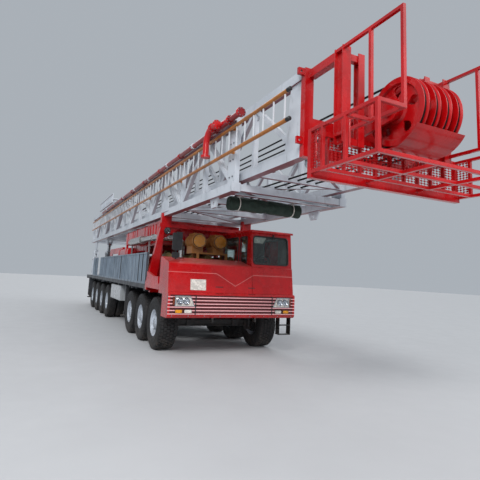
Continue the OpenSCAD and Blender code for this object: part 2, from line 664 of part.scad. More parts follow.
module drawworks() color("#b8141c") {
    c = [drum_y, drum_z];
    cheek = drum_x + 80;
    both() {
        // cheeks with the shaft's bearings
        difference() {
            union() {
                slab(drum_x, cheek, [[drum_y - 560, deck_z], [drum_y + 560, deck_z],
                                     [drum_y + 190, drum_z + 230], [drum_y - 190, drum_z + 230]]);
                cross_pin(drum_x, cheek, c, 300, 48);
                cross_pin(cheek - 5, cheek + 18, c, 130);
            }
            cross_pin(drum_x - 10, cheek + 30, c, shaft_r + run);
            cross_pin(cheek, cheek + 30, c, 90);
        }
        // brake band with its anchor
        ring(flange_x + 2, flange_x + 38, c, flange_r + 7, flange_r + 30, 96);
        box([flange_x + 2, drum_y - 60, deck_z], [flange_x + 38, drum_y + 60, drum_z - flange_r - 8]);
        // side guard with an opening in front of the drum
        difference() {
            box([guard_x - 30, 7550, deck_z], [guard_x, 10350, 2600]);
            side_hole(guard_x - 40, guard_x + 10, [8150, 9850], [1720, 2380], 120);
        }
        box([guard_x - 90, 7550, 2570], [guard_x, 10350, 2600]);
        for (y = [7550, 10290]) box([guard_x - 90, y, deck_z], [guard_x, y + 60, 2600]);
    }
    // end guards and the ties between the cheeks
    for (y = [7550, 10290]) box([-guard_x + 80, y, deck_z], [guard_x - 80, y + 60, 2300]);
    for (y = [drum_y - 430, drum_y + 430]) cross_pin(-drum_x - 10, drum_x + 10, [y, deck_z + 90], 45);
    // chain case from the angle drive's shaft
    cross_pin(cheek + 30, cheek + 170, c, 240, 48);
    cross_pin(cheek + 30, cheek + 170, [drum_y - 1150, drum_z - 250], 240, 48);
    strut([cheek + 100, drum_y - 1150, drum_z - 250], [cheek + 100, drum_y, drum_z], 470, 120);
    box([cheek + 30, drum_y - 1230, deck_z], [cheek + 170, drum_y - 1070, drum_z - 300]);
    box([cheek + 30, drum_y - 80, deck_z], [cheek + 170, drum_y + 80, drum_z - 200]);
}

module main_drum() color("#8b8e92") {
    // flanges with a thickened rim and hub
    both() translate([0, drum_y, drum_z]) rotate([0, 90, 0]) rotate_extrude($fn = 72)
        polygon([[0, -flange_x], [flange_r, -flange_x], [flange_r, -flange_x - 40],
                 [flange_r - 40, -flange_x - 40], [flange_r - 60, -flange_x - 24],
                 [220, -flange_x - 24], [180, -flange_x - 40], [0, -flange_x - 40]]);
    // wound rope, in ridges
    translate([0, drum_y, drum_z]) rotate([0, 90, 0]) rotate_extrude($fn = 72)
        polygon(concat([[0, -flange_x], [330, -flange_x]],
                       [for (i = [0:27]) for (d = [0, 1])
                           [d == 0 ? 340 : 354, -flange_x + 10 + i * 40 + d * 20]],
                       [[330, flange_x], [0, flange_x]]));
    cross_pin(-drum_x - 100, drum_x + 100, [drum_y, drum_z], shaft_r);
}

module tanks() color("#b8141c") {
    // header tanks over the engines' rear, on posts
    for (t = [[3940, 5560, 2330, 3110], [5640, 7030, 2640, 3090]]) {
        rounded_bar(t[0], t[1], [-1150, t[2]], [1150, t[3]], 60);
        for (y = [t[0] + 250, t[1] - 310])
            difference() {
                rounded_bar(y, y + 60, [-1162, t[2] - 12], [1162, t[3] + 12], 70);
                rounded_bar(y - 5, y + 65, [-1140, t[2] + 10], [1140, t[3] - 10], 50);
            }
        both() for (y = [t[0] + 20, t[1] - 90]) box([1070, y, deck_z], [1140, y + 70, t[2] + 60]);
    }
    both() {
        // side tanks with their straps
        rounded_bar(5640, 7400, [650, deck_z], [1340, 2500], 110);
        for (y = [5900, 7080]) difference() {
            rounded_bar(y, y + 60, [640, deck_z], [1352, 2512], 120);
            rounded_bar(y - 5, y + 65, [670, deck_z - 5], [1330, 2490], 95);
        }
        // tool boxes under the deck, with their doors
        difference() {
            box([900, 5500, 780], [half_w - 70, 7300, rail_top]);
            for (y = [5900, 6500]) box([half_w - 76, y + 595, 770], [half_w - 60, y + 605, rail_top + 10]);
        }
        for (y = [5520, 6110, 6710])
            side_hole(half_w - 71, half_w - 64, [y, y + 570], [800, rail_top - 20], 25);
        box([rail_out, 6200, 1000], [900, 6400, 1200]);
    }
}

module axles() color("#202124") {
    // steered I-beams with yokes round the knuckles
    for (y = front_axles) {
        difference() {
            box([-930, y - 65, wheel_r - 75], [930, y + 65, spring_seat]);
            for (d = [-70, 25]) both() {
                box([-10, y + d, wheel_r - 50], [spring_x[0] - 40, y + d + 45, spring_seat - 25]);
                box([spring_x[1] + 40, y + d, wheel_r - 50], [860, y + d + 45, spring_seat - 25]);
            }
        }
        both() {
            for (z = [wheel_r - 165, wheel_r + 110 + eps])
                wall(y - 60, y + 60, [[880, z], [king_x, z], [king_x + 50, z + 15],
                                      [king_x + 50, z + 55 - eps], [880, z + 55 - eps]]);
            box([880, y - 60, wheel_r - 165], [930, y + 60, wheel_r + 165]);
            translate([king_x, y, wheel_r - 150]) cylinder(h = 300, r = 25, $fn = 24);
        }
    }
    // driven axles: housings that swell round the gears, with pinion noses
    for (y = rear_axles) {
        translate([0, y, wheel_r]) rotate([0, 90, 0]) rotate_extrude($fn = 48)
            polygon([[0, -830], [72, -830], [72, -420], [190, -190], [225, -90], [225, 90], [190, 190],
                     [72, 420], [72, 830], [0, 830]]);
        long_pin(y - 330, y, [0, wheel_r], 110);
        long_pin(y - 345, y - 320, [0, wheel_r], 80);
        both() {
            box([spring_x[0] - 12, y - 75, wheel_r - 60], [spring_x[1] + 12, y + 75, spring_seat]);
            cross_pin(800, 845, [y, wheel_r], 200, 48);
            cross_pin(820, 1250, [y, wheel_r], stub_r);
        }
    }
    for (i = [0:2]) long_pin(rear_axles[i], rear_axles[i + 1] - 330, [0, wheel_r], 45, 24);
    // transfer case and its shaft
    box([-200, 5500, wheel_r - 60], [200, 5900, rail_z + 40]);
    long_pin(5890, 5960, [0, wheel_r + 60], 90);
    pipe([0, 5900, wheel_r + 60], [0, rear_axles[0] - 330, wheel_r], 45, 24);
}

module knuckle(y) color("#2a2b2e") {
    difference() {
        union() {
            translate([king_x, y, wheel_r - 110 + eps]) cylinder(h = 220 - eps, r = 60, $fn = 32);
            cross_pin(king_x, 1250, [y, wheel_r], stub_r);
        }
        translate([king_x, y, wheel_r - 120]) cylinder(h = 240, r = 25 + run, $fn = 24);
    }
    cross_pin(king_x + 88, king_x + 112, [y, wheel_r], 225, 48);
}

// Wheel on the left side, w wide, with its outer face at track_x
module tyre(x1, w) translate([x1, 0, 0]) rotate([0, 90, 0]) rotate_extrude($fn = 22)
    polygon([[rim_d / 2, 20], [wheel_r - 50, 0], [wheel_r, 60], [wheel_r, w - 60],
             [wheel_r - 50, w], [rim_d / 2, w - 20]]);
// Rim w wide, whose disc lies between dish and dish + 20 at its outer edge, with a drilled hub
module rim(x1, w, dish, hub) translate([x1, 0, 0]) difference() {
    r = rim_d / 2;
    rotate([0, 90, 0]) rotate_extrude($fn = 64)
        polygon([[0, hub], [130, hub], [130, dish - 55], [180, dish - 55], [r - 38, dish], [r - 24, dish],
                 [r - 24, 45], [r - 10, 20], [r, 20], [r, w - 20], [r - 10, w - 20], [r - 24, w - 45],
                 [r - 24, dish + 20], [r - 45, dish + 20], [175, dish - 35], [135, dish - 35],
                 [135, w - 70], [105, w - 40], [0, w - 40]]);
    // hand holes
    for (a = [0:45:315]) rotate([a, 0, 0]) cross_pin(dish - 80, dish + 30, [218, 0], 26, 24);
    cross_pin(-1, 1255 - x1, [0, 0], stub_r + run);
}
module wheel_single(y) translate([0, y, wheel_r]) {
    x1 = track_x - single_w;
    color("#1a1a1a") tyre(x1, single_w);
    color("#c9ccd2") rim(x1, single_w, single_w - 95, king_x + 125 - x1);
}
module wheel_twin(y) translate([0, y, wheel_r]) {
    w = 2 * twin_w + twin_gap;
    x1 = track_x - w;
    color("#1a1a1a") for (x = [x1, track_x - twin_w]) tyre(x, twin_w);
    color("#c9ccd2") rim(x1, w, twin_w + twin_gap + 15, 60);
}

module mast_base() color("#d9dadb") both() {
    top = pivot_z - 250;
    front = pivot_y - 500;
    x1 = low_x - 120;
    x2 = low_x + 120;
    // pedestal with a pocket in each face
    difference() {
        slab(x1, x2, [[front, deck_z], [pivot_y + 250, deck_z - 200], [pivot_y + 250, top - 70],
                      [pivot_y + 150, top], [pivot_y - 150, top], [front, deck_z + 260]]);
        for (x = [x1 - 10, x2 - 50])
            slab(x, x + 60, [[front + 100, deck_z + 60], [pivot_y + 170, deck_z - 60],
                             [pivot_y + 170, top - 130], [pivot_y - 130, top - 90],
                             [front + 100, deck_z + 220]]);
    }
    for (x = [low_x - 100, low_x + 40]) {
        slab(x, x + 60, [[pivot_y - 210, top - 10], [pivot_y + 200, top - 60],
                         [pivot_y + 150, pivot_z], [pivot_y - 150, pivot_z]]);
        cross_pin(x, x + 60, [pivot_y, pivot_z], 150, 48);
    }
    cross_pin(low_x - 100, low_x + 100, [pivot_y, pivot_z], pivot_r);
    cross_pin(low_x + 95, low_x + 112, [pivot_y, pivot_z], 85);
    box([0, front + 100, rail_top], [x2, front + 380, deck_z]);
    // raking strut with its foot plate
    foot = pivot_y - 1800;
    slab(low_x - 40, low_x + 40, [[foot + 50, deck_z], [foot + 200, deck_z],
                                  [pivot_y - 100, top - 200], [pivot_y - 200, top - 100]]);
    box([low_x - 60, foot, deck_z], [low_x + 60, foot + 250, deck_z + 60]);
}

module mirror_right() color("#202124") {
    foot_y = 430;
    foot_z = belt_z + 30 + (hood_z - belt_z - 30) * (foot_y - 150) / 560 + 3.5;
    // two heads with bulged backs on one arm
    for (m = [[130, 2250, 350, 2630], [135, 2080, 295, 2205]] - [for (i = [0, 1]) [half_w, 0, half_w, 0]]) {
        rounded_bar(370, 400, [m[0], m[1]], [m[2], m[3]], 30);
        rounded_bar(400, 425, [m[0] + 20, m[1] + 20], [m[2] - 20, m[3] - 20], 30);
    }
    pipe([240 - half_w, foot_y, foot_z], [240 - half_w, foot_y, 2660], 15, 24);
    pipe([240 - half_w, foot_y, 2645], [370 - half_w, foot_y, 2645], 15, 24);
}

module walkway() color("#6f7a86") {
    last = 900;                // gap before the last panel
    ends = concat([for (i = [0:4]) [deck_y1 + 10 + i * (panel_l + 20), panel_l]],
                  [[deck_y1 + 10 + 5 * (panel_l + 20) + last, 1200]]);
    for (p = ends) {
        ribs = floor(p[1] / 220);
        step = (p[1] - 40) / ribs;
        difference() {
            box([half_w - panel_t, p[0], deck_z + eps], [half_w, p[0] + p[1], deck_z + panel_h]);
            // pockets between the frame and its ribs, on both faces
            for (i = [0:ribs - 1]) for (x = [half_w - 14, half_w - panel_t - 10])
                box([x, p[0] + 40 + i * step, deck_z + 50],
                    [x + 24, p[0] + i * step + step, deck_z + panel_h - 40]);
        }
    }
    // hinge rod through all panels
    long_pin(deck_y1 + 10, ends[5][0] + ends[5][1], [half_w - hinge_r, deck_z + eps + hinge_r], hinge_r, 24);
}

// Mast, lower section

low_bays = 13;
low_step = (lower_y2 - lower_y1 - 120) / low_bays;
function low_post(i) = lower_y1 + 60 + i * low_step;
// Gusset plates where the braces meet the chords, z1 and z2 being the chords' inner faces
module gussets(x, y1, step, bays, z1, z2, l) {
    for (i = [0:bays]) {
        z = i % 2 == 0 ? z1 - 5 : z2 + 5;
        up = i % 2 == 0 ? 1 : -1;
        y = y1 + i * step;
        lo = max(y - l, y1 - 20);
        hi = min(y + l, y1 + bays * step + 20);
        p = [[lo, z], [hi, z], [min(y + l / 3, hi), z + up * l], [max(y - l / 3, lo), z + up * l]];
        slab(x - 12, x + 12, up > 0 ? p : reversed(p));
    }
}

module mast_side() color("#d5d8dc") {
    h = lower_chord / 2;
    for (z = [lower_z, low_top])
        box([low_x - h, lower_y1, z - h], [low_x + h, lower_y2, z + h]);
    bracing(low_x, lower_y1 + 60, lower_y2 - 60, lower_z, low_top, low_bays, 90, 80);
    gussets(low_x, lower_y1 + 60, low_step, low_bays, lower_z + h, low_top - h, 170);
    // wide end posts
    box([low_x - 45, lower_y1, low_bot + 20], [low_x + 45, lower_y1 + end_post, low_top]);
    box([low_x - 45, lower_y2 - 200, low_bot + 20], [low_x + 45, lower_y2, low_top]);
    // tie-down lug below the chord
    difference() {
        slab(low_x - 20, low_x + 20, [[-1440, low_bot + 10], [-1350, low_bot - 170], [-1150, low_bot - 170],
                                      [-1060, low_bot + 10]]);
        cross_pin(low_x - 30, low_x + 30, [-1250, low_bot - 95], 40);
    }
    // wear plate where the mast lies on its rest
    slab(low_x + h - 2, low_x + h + 12, [[1540, low_bot + 95], [2160, low_bot + 95], [2160, low_bot + 330],
                                         [2080, low_bot + 390], [1540, low_bot + 390]]);
    // pivot plate
    difference() {
        union() {
            slab(low_x - 30, low_x + 30, [[pivot_y - 400, low_bot + 5], [pivot_y - 140, pivot_z],
                                          [pivot_y + 140, pivot_z], [pivot_y + 400, low_bot + 5]]);
            cross_pin(low_x - 30, low_x + 30, [pivot_y, pivot_z], 140, 48);
        }
        cross_pin(low_x - 40, low_x + 40, [pivot_y, pivot_z], pivot_r + run);
    }
}
module mast_back() color("#d5d8dc") {
    h = lower_chord / 2;
    in_x = low_x - h;
    for (i = [0:low_bays]) {
        y = low_post(i);
        box([-in_x, y - 50, low_bot + 20], [in_x, y + 50, low_bot + 140]);
        if (i < low_bays) {
            s = i % 2 == 0 ? 1 : -1;
            strut([-s * (in_x - 60), y, lower_z - 10], [s * (in_x - 60), y + low_step, lower_z - 10],
                  70, 70);
        }
    }
    // front beam, a channel that opens forwards
    front = lower_y1 + 260;
    difference() {
        box([-in_x, front, low_bot], [in_x, front + 90, lower_z + h]);
        box([-in_x + 40, front - 10, low_bot + 14], [in_x - 40, front + 76, lower_z + h - 14]);
    }
    // slide blocks under and beside the upper section's chords
    both() for (i = [1, 4, 8]) {
        y = low_post(i);
        box([up_x - 40, y - 60, low_bot + 130], [in_x, y + 60, up_bot - eps]);
        box([up_x + upper_chord / 2 + eps, y - 60, lower_z + h],
            [low_x - 45, y + 60, up_bot + 120]);
    }
    // beam and lugs for the lift rods
    box([-in_x, pin_a[0] - 120, low_bot], [in_x, pin_a[0] + 120, low_bot + 140]);
    both() for (x = [lift_x - 110, lift_x + 60]) {
        slab(x, x + 50, [[pin_a[0] - 120, low_bot + 5], [pin_a[0] - 70, pin_a[1] - 60],
                         [pin_a[0] + 70, pin_a[1] - 60], [pin_a[0] + 120, low_bot + 5]]);
    }
}
ladder_x = low_x + lower_chord / 2 + 40;
module ladder() color("#b0702c") {
    rails = [3870, 4290];
    r = 30;
    for (z = rails) pipe([-ladder_x, -4000, z], [-ladder_x, 16300, z], r, 24);
    for (i = [0:66])
        box([-ladder_x - 10, -3900 + i * 305, rails[0]], [-ladder_x + 10, -3880 + i * 305, rails[1]]);
    for (i = [0:2:low_bays - 1]) for (z = rails)
        box([-ladder_x, low_post(i) - 20, z - 25], [-low_x - 45, low_post(i) + 20, z + 25]);
}
module standpipe() color("#8d1a20") {
    x = -low_x - lower_chord / 2 - 85;
    z = 4430;
    r = 50;
    bend = 250;
    outlet = x - 110;
    pipe([x, -2600, z], [x, 12500, z], r);
    // hub with its flanges, and the blind end
    for (y = [-2600, -2180, -1600]) long_pin(y, y + 40, [x, z], 82);
    long_pin(-2150, -1590, [x, z], 66);
    // gooseneck: outlet, flanged union, bend and flanged lower end
    cross_pin(outlet, x, [-1800, z], 60);
    long_pin(-1800, -1600, [outlet, z], 60);
    for (y = [-1840, -1640]) long_pin(y, y + 40, [outlet, z], 84);
    translate([outlet, -1600, z - bend]) rotate([90, 0, 90]) rotate_extrude(angle = 90, $fn = 64)
        translate([bend, 0]) circle(r = 60, $fn = 32);
    translate([outlet, -1600 + bend, 3960]) cylinder(h = z - bend - 3960, r = 60, $fn = 32);
    translate([outlet, -1600 + bend, 3920]) cylinder(h = 45, r = 90, $fn = 32);
    // clamps on the mast's chord
    for (i = [0:7]) {
        long_pin(-1180 + i * 1750, -1110 + i * 1750, [x, z], 62);
        box([x, -1180 + i * 1750, z - 30], [-low_x - lower_chord / 2, -1110 + i * 1750, z + 30]);
    }
}
module tarpaulin() color("#24382c") {
    r = 125;
    y = -1700;
    cross_pin(-1050, 450, [y, low_bot + 5 - r], r);
    for (x = [-900, 250]) box([x, lower_y1 + 350, low_bot], [x + 60, y, low_bot + 10]);
}

// Mast, upper section

up_bays = 12;
module mast_top_side() color("#d5d8dc") {
    h = upper_chord / 2;
    step = (upper_y2 - upper_y1 - 100) / up_bays;
    for (z = [upper_z, up_top])
        box([up_x - h, upper_y1, z - h], [up_x + h, upper_y2, z + h]);
    bracing(up_x, upper_y1 + 50, upper_y2 - 50, upper_z, up_top, up_bays, 80, 70);
    gussets(up_x, upper_y1 + 50, step, up_bays, upper_z + h, up_top - h, 150);
    // broad end post that tapers upwards
    slab(up_x - 40, up_x + 40, [[upper_y1, up_bot + 10], [upper_y1, up_top], [upper_y1 + 300, up_top],
                                [upper_y1 + 400, up_bot + 450], [upper_y1 + 450, up_bot + 10]]);
}
module mast_top_back() color("#d5d8dc") {
    h = upper_chord / 2;
    step = (upper_y2 - upper_y1 - 100) / up_bays;
    in_x = up_x - h;
    for (i = [0:up_bays]) {
        y = upper_y1 + 50 + i * step;
        box([-in_x, y - 40, upper_z - 50], [in_x, y + 40, upper_z + 50]);
        if (i < up_bays) {
            s = i % 2 == 0 ? 1 : -1;
            strut([-s * (in_x - 50), y, upper_z], [s * (in_x - 50), y + step, upper_z], 60, 60);
        }
    }
}
// Beam of I-section along Z, centred on x, with its flanges at the ends of y
module column(x, y, z, w, t = 14) {
    box([x - t / 2, y[0], z[0]], [x + t / 2, y[1], z[1]]);
    for (f = [y[0], y[1] - t]) box([x - w / 2, f, z[0]], [x + w / 2, f + t, z[1]]);
}

module crown() color("#c8141c") {
    h = upper_chord / 2;
    end = upper_y1 - 100;
    y2 = crown_y;
    y1 = crown_y - 60;
    top = y1 - crown_rail;
    t = 40;
    // end frame against the upper section
    difference() {
        box([-up_x - h, end, up_bot], [up_x + h, upper_y1, up_roof]);
        box([-up_x + h, end - 10, up_bot + 160], [up_x - h, upper_y1 + 10, up_roof + 10]);
    }
    box([-up_x, end, sheave_z - 100], [up_x, upper_y1, sheave_z + 100]);
    both() {
        // cheeks that carry the sheaves' shaft, with their bosses and ribs
        slab(cheek_x, cheek_x + 40, [[end + 10, sheave_z - 280], [sheave_y, sheave_z - 150],
                                     [sheave_y, sheave_z + 150], [end + 10, sheave_z + 280]]);
        cross_pin(cheek_x, cheek_x + 40, [sheave_y, sheave_z], 150, 48);
        cross_pin(cheek_x + 40, cheek_x + 60, [sheave_y, sheave_z], 95);
        box([cheek_x + 35, y1 - 120, sheave_z - 10], [cheek_x + 120, end + 10, sheave_z + 10]);
        // bearers between the end frame and the platform
        for (z = [up_bot + 20, up_roof - 140]) box([850, y1 - 5, z], [950, end + 10, z + 120]);
        column(900, [y1 - 160, y1 + 5], [up_bot + 20, up_roof], 130);
        column(600, [y1 - 90, y1 + 5], [up_bot + 20, up_roof], 100);
        for (z = [up_bot + 30, up_roof - 120]) box([545, y1 - 70, z], [905, y1 + 5, z + 90]);
        // arms of the sheave guard
        box([cheek_x - 10, sheave_y + 160, sheave_z - guard_r],
            [cheek_x + 20, sheave_y + 240, sheave_z - 120]);
    }
    cross_pin(-cheek_x - 50, cheek_x + 50, [sheave_y, sheave_z], 60);
    // guard below the sheaves
    translate([-cheek_x, sheave_y, sheave_z]) rotate([90, 0, 90]) rotate([0, 0, 215])
        rotate_extrude(angle = 85, $fn = 96) translate([guard_r, 0]) square([12, 2 * cheek_x]);
    // platform frame: edge beams, a grid of bars and the floor's outer strip
    box([-crown_x, y1 - 20, crown_z[0] - 50], [crown_x, y2, crown_z[0] + 60]);
    box([-crown_x, y1, crown_z[1] - 60], [crown_x, y2, crown_z[1]]);
    for (i = [0:10]) {
        x = -crown_x + i * (2 * crown_x - 30) / 10;
        box([x, y1 + 10, crown_z[0]], [x + 30, y2, crown_z[1] - 10]);
    }
    both() box([crown_x - 60, y1, crown_z[0]], [crown_x, y2, crown_z[1]]);
    // handrails, which point up once the mast stands
    for (d = rail_d) {
        y = y1 - d;
        box([-crown_x, y - t / 2, crown_z[0]], [crown_x, y + t / 2, crown_z[0] + t]);
        both() {
            box([crown_x - t, y - t / 2, crown_z[0]], [crown_x, y + t / 2, crown_z[1]]);
            if (d > rail_d[0]) {
                box([910, y - t / 2, crown_z[1] - t], [crown_x, y + t / 2, crown_z[1]]);
                box([910, y - t / 2, crown_z[1] - t], [950, y + t / 2, up_roof]);
            }
        }
    }
    both() {
        for (p = [[crown_x - t, crown_z[0]], [crown_x - t, crown_z[1] - t], [910, up_roof - t],
                  [910, crown_z[1] - t], [430, crown_z[0]]])
            box([p[0], top, p[1]], [p[0] + t, y1 + 10, p[1] + t]);
    }
    // guy-line eyes
    both() for (z = [up_bot + 220, up_roof - 60]) difference() {
        box([up_x + h - 5, upper_y1 - 80, z - 50], [up_x + h + 100, upper_y1 - 40, z + 50]);
        translate([up_x + h + 50, upper_y1 - 30, z]) rotate([90, 0, 0])
            cylinder(h = 60, r = 20, $fn = 32);
    }
}
module crown_sheaves() color("#a3161c") {
    r = sheave_d / 2;
    w = 90;                    // rim width
    web = 14;                  // half the web's thickness
    pitch = 190;
    translate([0, sheave_y, sheave_z]) difference() {
        union() {
            cross_pin(-1.5 * pitch - 115, 1.5 * pitch + 115, [0, 0], 105, 48);
            // four sheaves, each with a rope groove, a web and a hub
            for (i = [0:3]) translate([(i - 1.5) * pitch, 0, 0]) rotate([0, 90, 0]) rotate_extrude($fn = 96)
                polygon([[0, -w / 2], [130, -w / 2], [150, -web], [r - 90, -web], [r - 75, -w / 2],
                         [r, -w / 2], [r, -w / 2 + 10], [r - 45, -12], [r - 45, 12], [r, w / 2 - 10],
                         [r, w / 2], [r - 75, w / 2], [r - 90, web], [150, web], [130, w / 2], [0, w / 2]]);
        }
        // five openings through every web, round outside and pointed inside
        for (a = [0:72:288]) rotate([a + 20, 0, 0]) translate([-2 * pitch, 0, 0]) rotate([90, 0, 90])
            linear_extrude(4 * pitch) {
                translate([265, 0]) circle(r = 62, $fn = 32);
                polygon([[168, 0], [228.5, -50], [265, -50], [265, 50], [228.5, 50]]);
            }
        cross_pin(-2 * pitch - 50, 2 * pitch + 50, [0, 0], 60 + run);
    }
}

board_x = low_x + 190;     // outside the lower mast's sides
board_y = [9600, 13200];
module monkey_board() color("#d5d8dc") {
    z1 = up_roof + eps;
    z2 = z1 + 60;
    lo = z1 - 120;             // bottom rail, above the standpipe's flanges
    hi = z2 + 220;
    both() {
        box([board_x, board_y[0], lo], [board_x + 45, board_y[1], lo + 40]);
        box([board_x, board_y[0], hi - 40], [board_x + 45, board_y[1], hi]);
        box([board_x - 60, board_y[0], z1], [board_x + 5, board_y[1], z2]);
        // fence of pickets
        for (i = [0:17])
            box([board_x + 5, board_y[0] + i * 205, lo + 35],
                [board_x + 40, board_y[0] + 45 + i * 205, hi - 35]);
        // fingers
        for (i = [1:6])
            box([420, board_y[0] + 330 + i * 400, z1 + 10], [board_x, board_y[0] + 380 + i * 400, z2 - 10]);
    }
    for (y = [board_y[0] + 20, board_y[1] - 60])
        box([-board_x, y, z1], [board_x, y + 60, z2]);
    both() box([380, board_y[0] + 30, z1], [440, board_y[1] - 10, z2]);
    // hinge tube
    cross_pin(-board_x, board_x, [board_y[0], z1 + 30], 25, 32);
}

// Lift cylinders: three telescoping tubes on the line between the lift pins

module along_lift() both() translate([lift_x, pin_b[0], pin_b[1]]) rotate([lift_tilt, 0, 0])
    children();
module eye(w, s, r, bore) translate([0, 0, s]) rotate([0, 90, 0]) difference() {
    cylinder(h = w, r = r, $fn = 32, center = true);
    cylinder(h = w + 10, r = bore, $fn = 32, center = true);
}
barrel_s = [170, 1780];
stage_s = [210, 1880];
module lift_barrels() color("#8b8e92") along_lift() {
    eye(100, 0, 100, lift_pin + run);
    difference() {
        union() {
            translate([0, 0, barrel_s[0]]) cylinder(h = barrel_s[1] - barrel_s[0], r = barrel_r, $fn = 40);
            translate([-40, -60, 60]) cube([80, 120, barrel_s[0] - 50]);
            // end collar
            translate([0, 0, barrel_s[1] - 80]) cylinder(h = 80, r = barrel_r + 16, $fn = 40);
        }
        translate([0, 0, stage_s[0] - 10])
            cylinder(h = barrel_s[1], r = stage_r + run, $fn = 40);
    }
}
module lift_stages() color("#b9bcc0") along_lift() difference() {
    union() {
        translate([0, 0, stage_s[0]]) cylinder(h = stage_s[1] - stage_s[0], r = stage_r, $fn = 40);
        translate([0, 0, stage_s[1] - 60]) cylinder(h = 60, r = stage_r + 16, $fn = 40);
    }
    translate([0, 0, stage_s[0] + 30]) cylinder(h = stage_s[1], r = rod_r + run, $fn = 40);
}
module lift_rods() color("#d3d6d9") along_lift() {
    translate([0, 0, stage_s[0] + 50])
        cylinder(h = lift_len - 90 - stage_s[0] - 50, r = rod_r, $fn = 40);
    eye(100, lift_len, 100, lift_pin + 5);
}

module jack_foot(y) color("#3a3d42") {
    translate([jack_x, y, jack_z]) cylinder(h = 40, r = 200, $fn = 40);
    translate([jack_x, y, jack_z + 39]) cylinder(h = 33, r1 = 150, r2 = 105, $fn = 40);
    translate([jack_x, y, jack_z + 30]) cylinder(h = 800, r = jack_r, $fn = 32);
}

place() chassis();
place() deck();
place() nose();
place() lamps();
place() cab();
place() cab_glass();
place() cab_interior();
place() cab_door();
place() engines();
place() air_cleaners();
place() radiators();
place() exhausts();
place() mast_rest();
place() drawworks();
place() main_drum();
place() tanks();
place() axles();
place() mast_base();
place() mirror_right();
place() on_side("right") walkway();  // walkway_right
place() on_side("left") walkway();  // walkway_left
place() on_side("right") mast_side();  // mast_side_right
place() on_side("left") mast_side();  // mast_side_left
place() mast_back();
place() standpipe();
place() ladder();
place() tarpaulin();
place() on_side("right") mast_top_side();  // mast_top_right
place() on_side("left") mast_top_side();  // mast_top_left
place() mast_top_back();
place() crown();
place() crown_sheaves();
place() monkey_board();
place() lift_barrels();
place() lift_stages();
place() lift_rods();
for (s = sides) {
    for (e = [0, 1])
        place() on_side(s) jack_foot(jack_y[e]);
    for (i = [1:3])
        place() on_side(s) knuckle(front_axles[i - 1]);
    for (i = [1:3])
        place() on_side(s) wheel_single(front_axles[i - 1]);
    for (i = [4:7])
        place() on_side(s) wheel_twin(rear_axles[i - 4]);
}
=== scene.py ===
"""The looks of a mast-type workover rig, in metres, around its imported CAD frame.

Places are written as on the carrier: X to its left, Y from the bumper's face to the rear and
Z up from the road. at() moves them into the frame.
"""
import math

import bmesh
import bpy
from mathutils import Matrix, Vector


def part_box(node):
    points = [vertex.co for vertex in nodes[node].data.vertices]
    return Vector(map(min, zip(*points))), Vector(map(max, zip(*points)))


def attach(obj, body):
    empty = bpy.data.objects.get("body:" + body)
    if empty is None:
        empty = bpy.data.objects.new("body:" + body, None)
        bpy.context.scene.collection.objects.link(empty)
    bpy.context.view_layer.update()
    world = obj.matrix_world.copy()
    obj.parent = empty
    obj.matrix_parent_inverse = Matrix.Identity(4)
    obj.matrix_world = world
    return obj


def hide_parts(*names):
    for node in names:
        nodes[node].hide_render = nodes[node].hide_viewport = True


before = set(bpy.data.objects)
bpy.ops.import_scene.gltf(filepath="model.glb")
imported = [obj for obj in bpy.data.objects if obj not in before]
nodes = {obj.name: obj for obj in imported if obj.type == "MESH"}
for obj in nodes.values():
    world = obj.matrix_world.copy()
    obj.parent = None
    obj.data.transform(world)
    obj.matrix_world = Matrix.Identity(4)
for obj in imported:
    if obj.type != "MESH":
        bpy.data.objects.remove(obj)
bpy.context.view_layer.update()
scene = bpy.context.scene

BUMPER_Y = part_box("nose")[0].y          # the bumper's face in the frame


def at(x, y, z):
    """Point of the frame from a place on the carrier."""
    return Vector((x, y + BUMPER_Y, z))


def corners_of(node):
    """Lowest and highest corner of a CAD node, as places on the carrier."""
    return [corner - Vector((0, BUMPER_Y, 0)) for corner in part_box(node)]


def angles(count, start=0.0):
    """Angles of even steps round a circle."""
    return [start + 2 * math.pi * k / count for k in range(count)]


def mirrored(side, a, b):
    """Range from a to b on the left, where side is 1, or its mirror image on the right, -1."""
    return sorted((side * a, side * b))


# Shaders

def colour(text):
    """Linear RGBA of a hexadecimal display colour."""
    parts = [int(text[i:i + 2], 16) / 255 for i in (0, 2, 4)]
    linear = [c / 12.92 if c <= 0.04045 else ((c + 0.055) / 1.055) ** 2.4 for c in parts]
    return (*linear, 1.0)


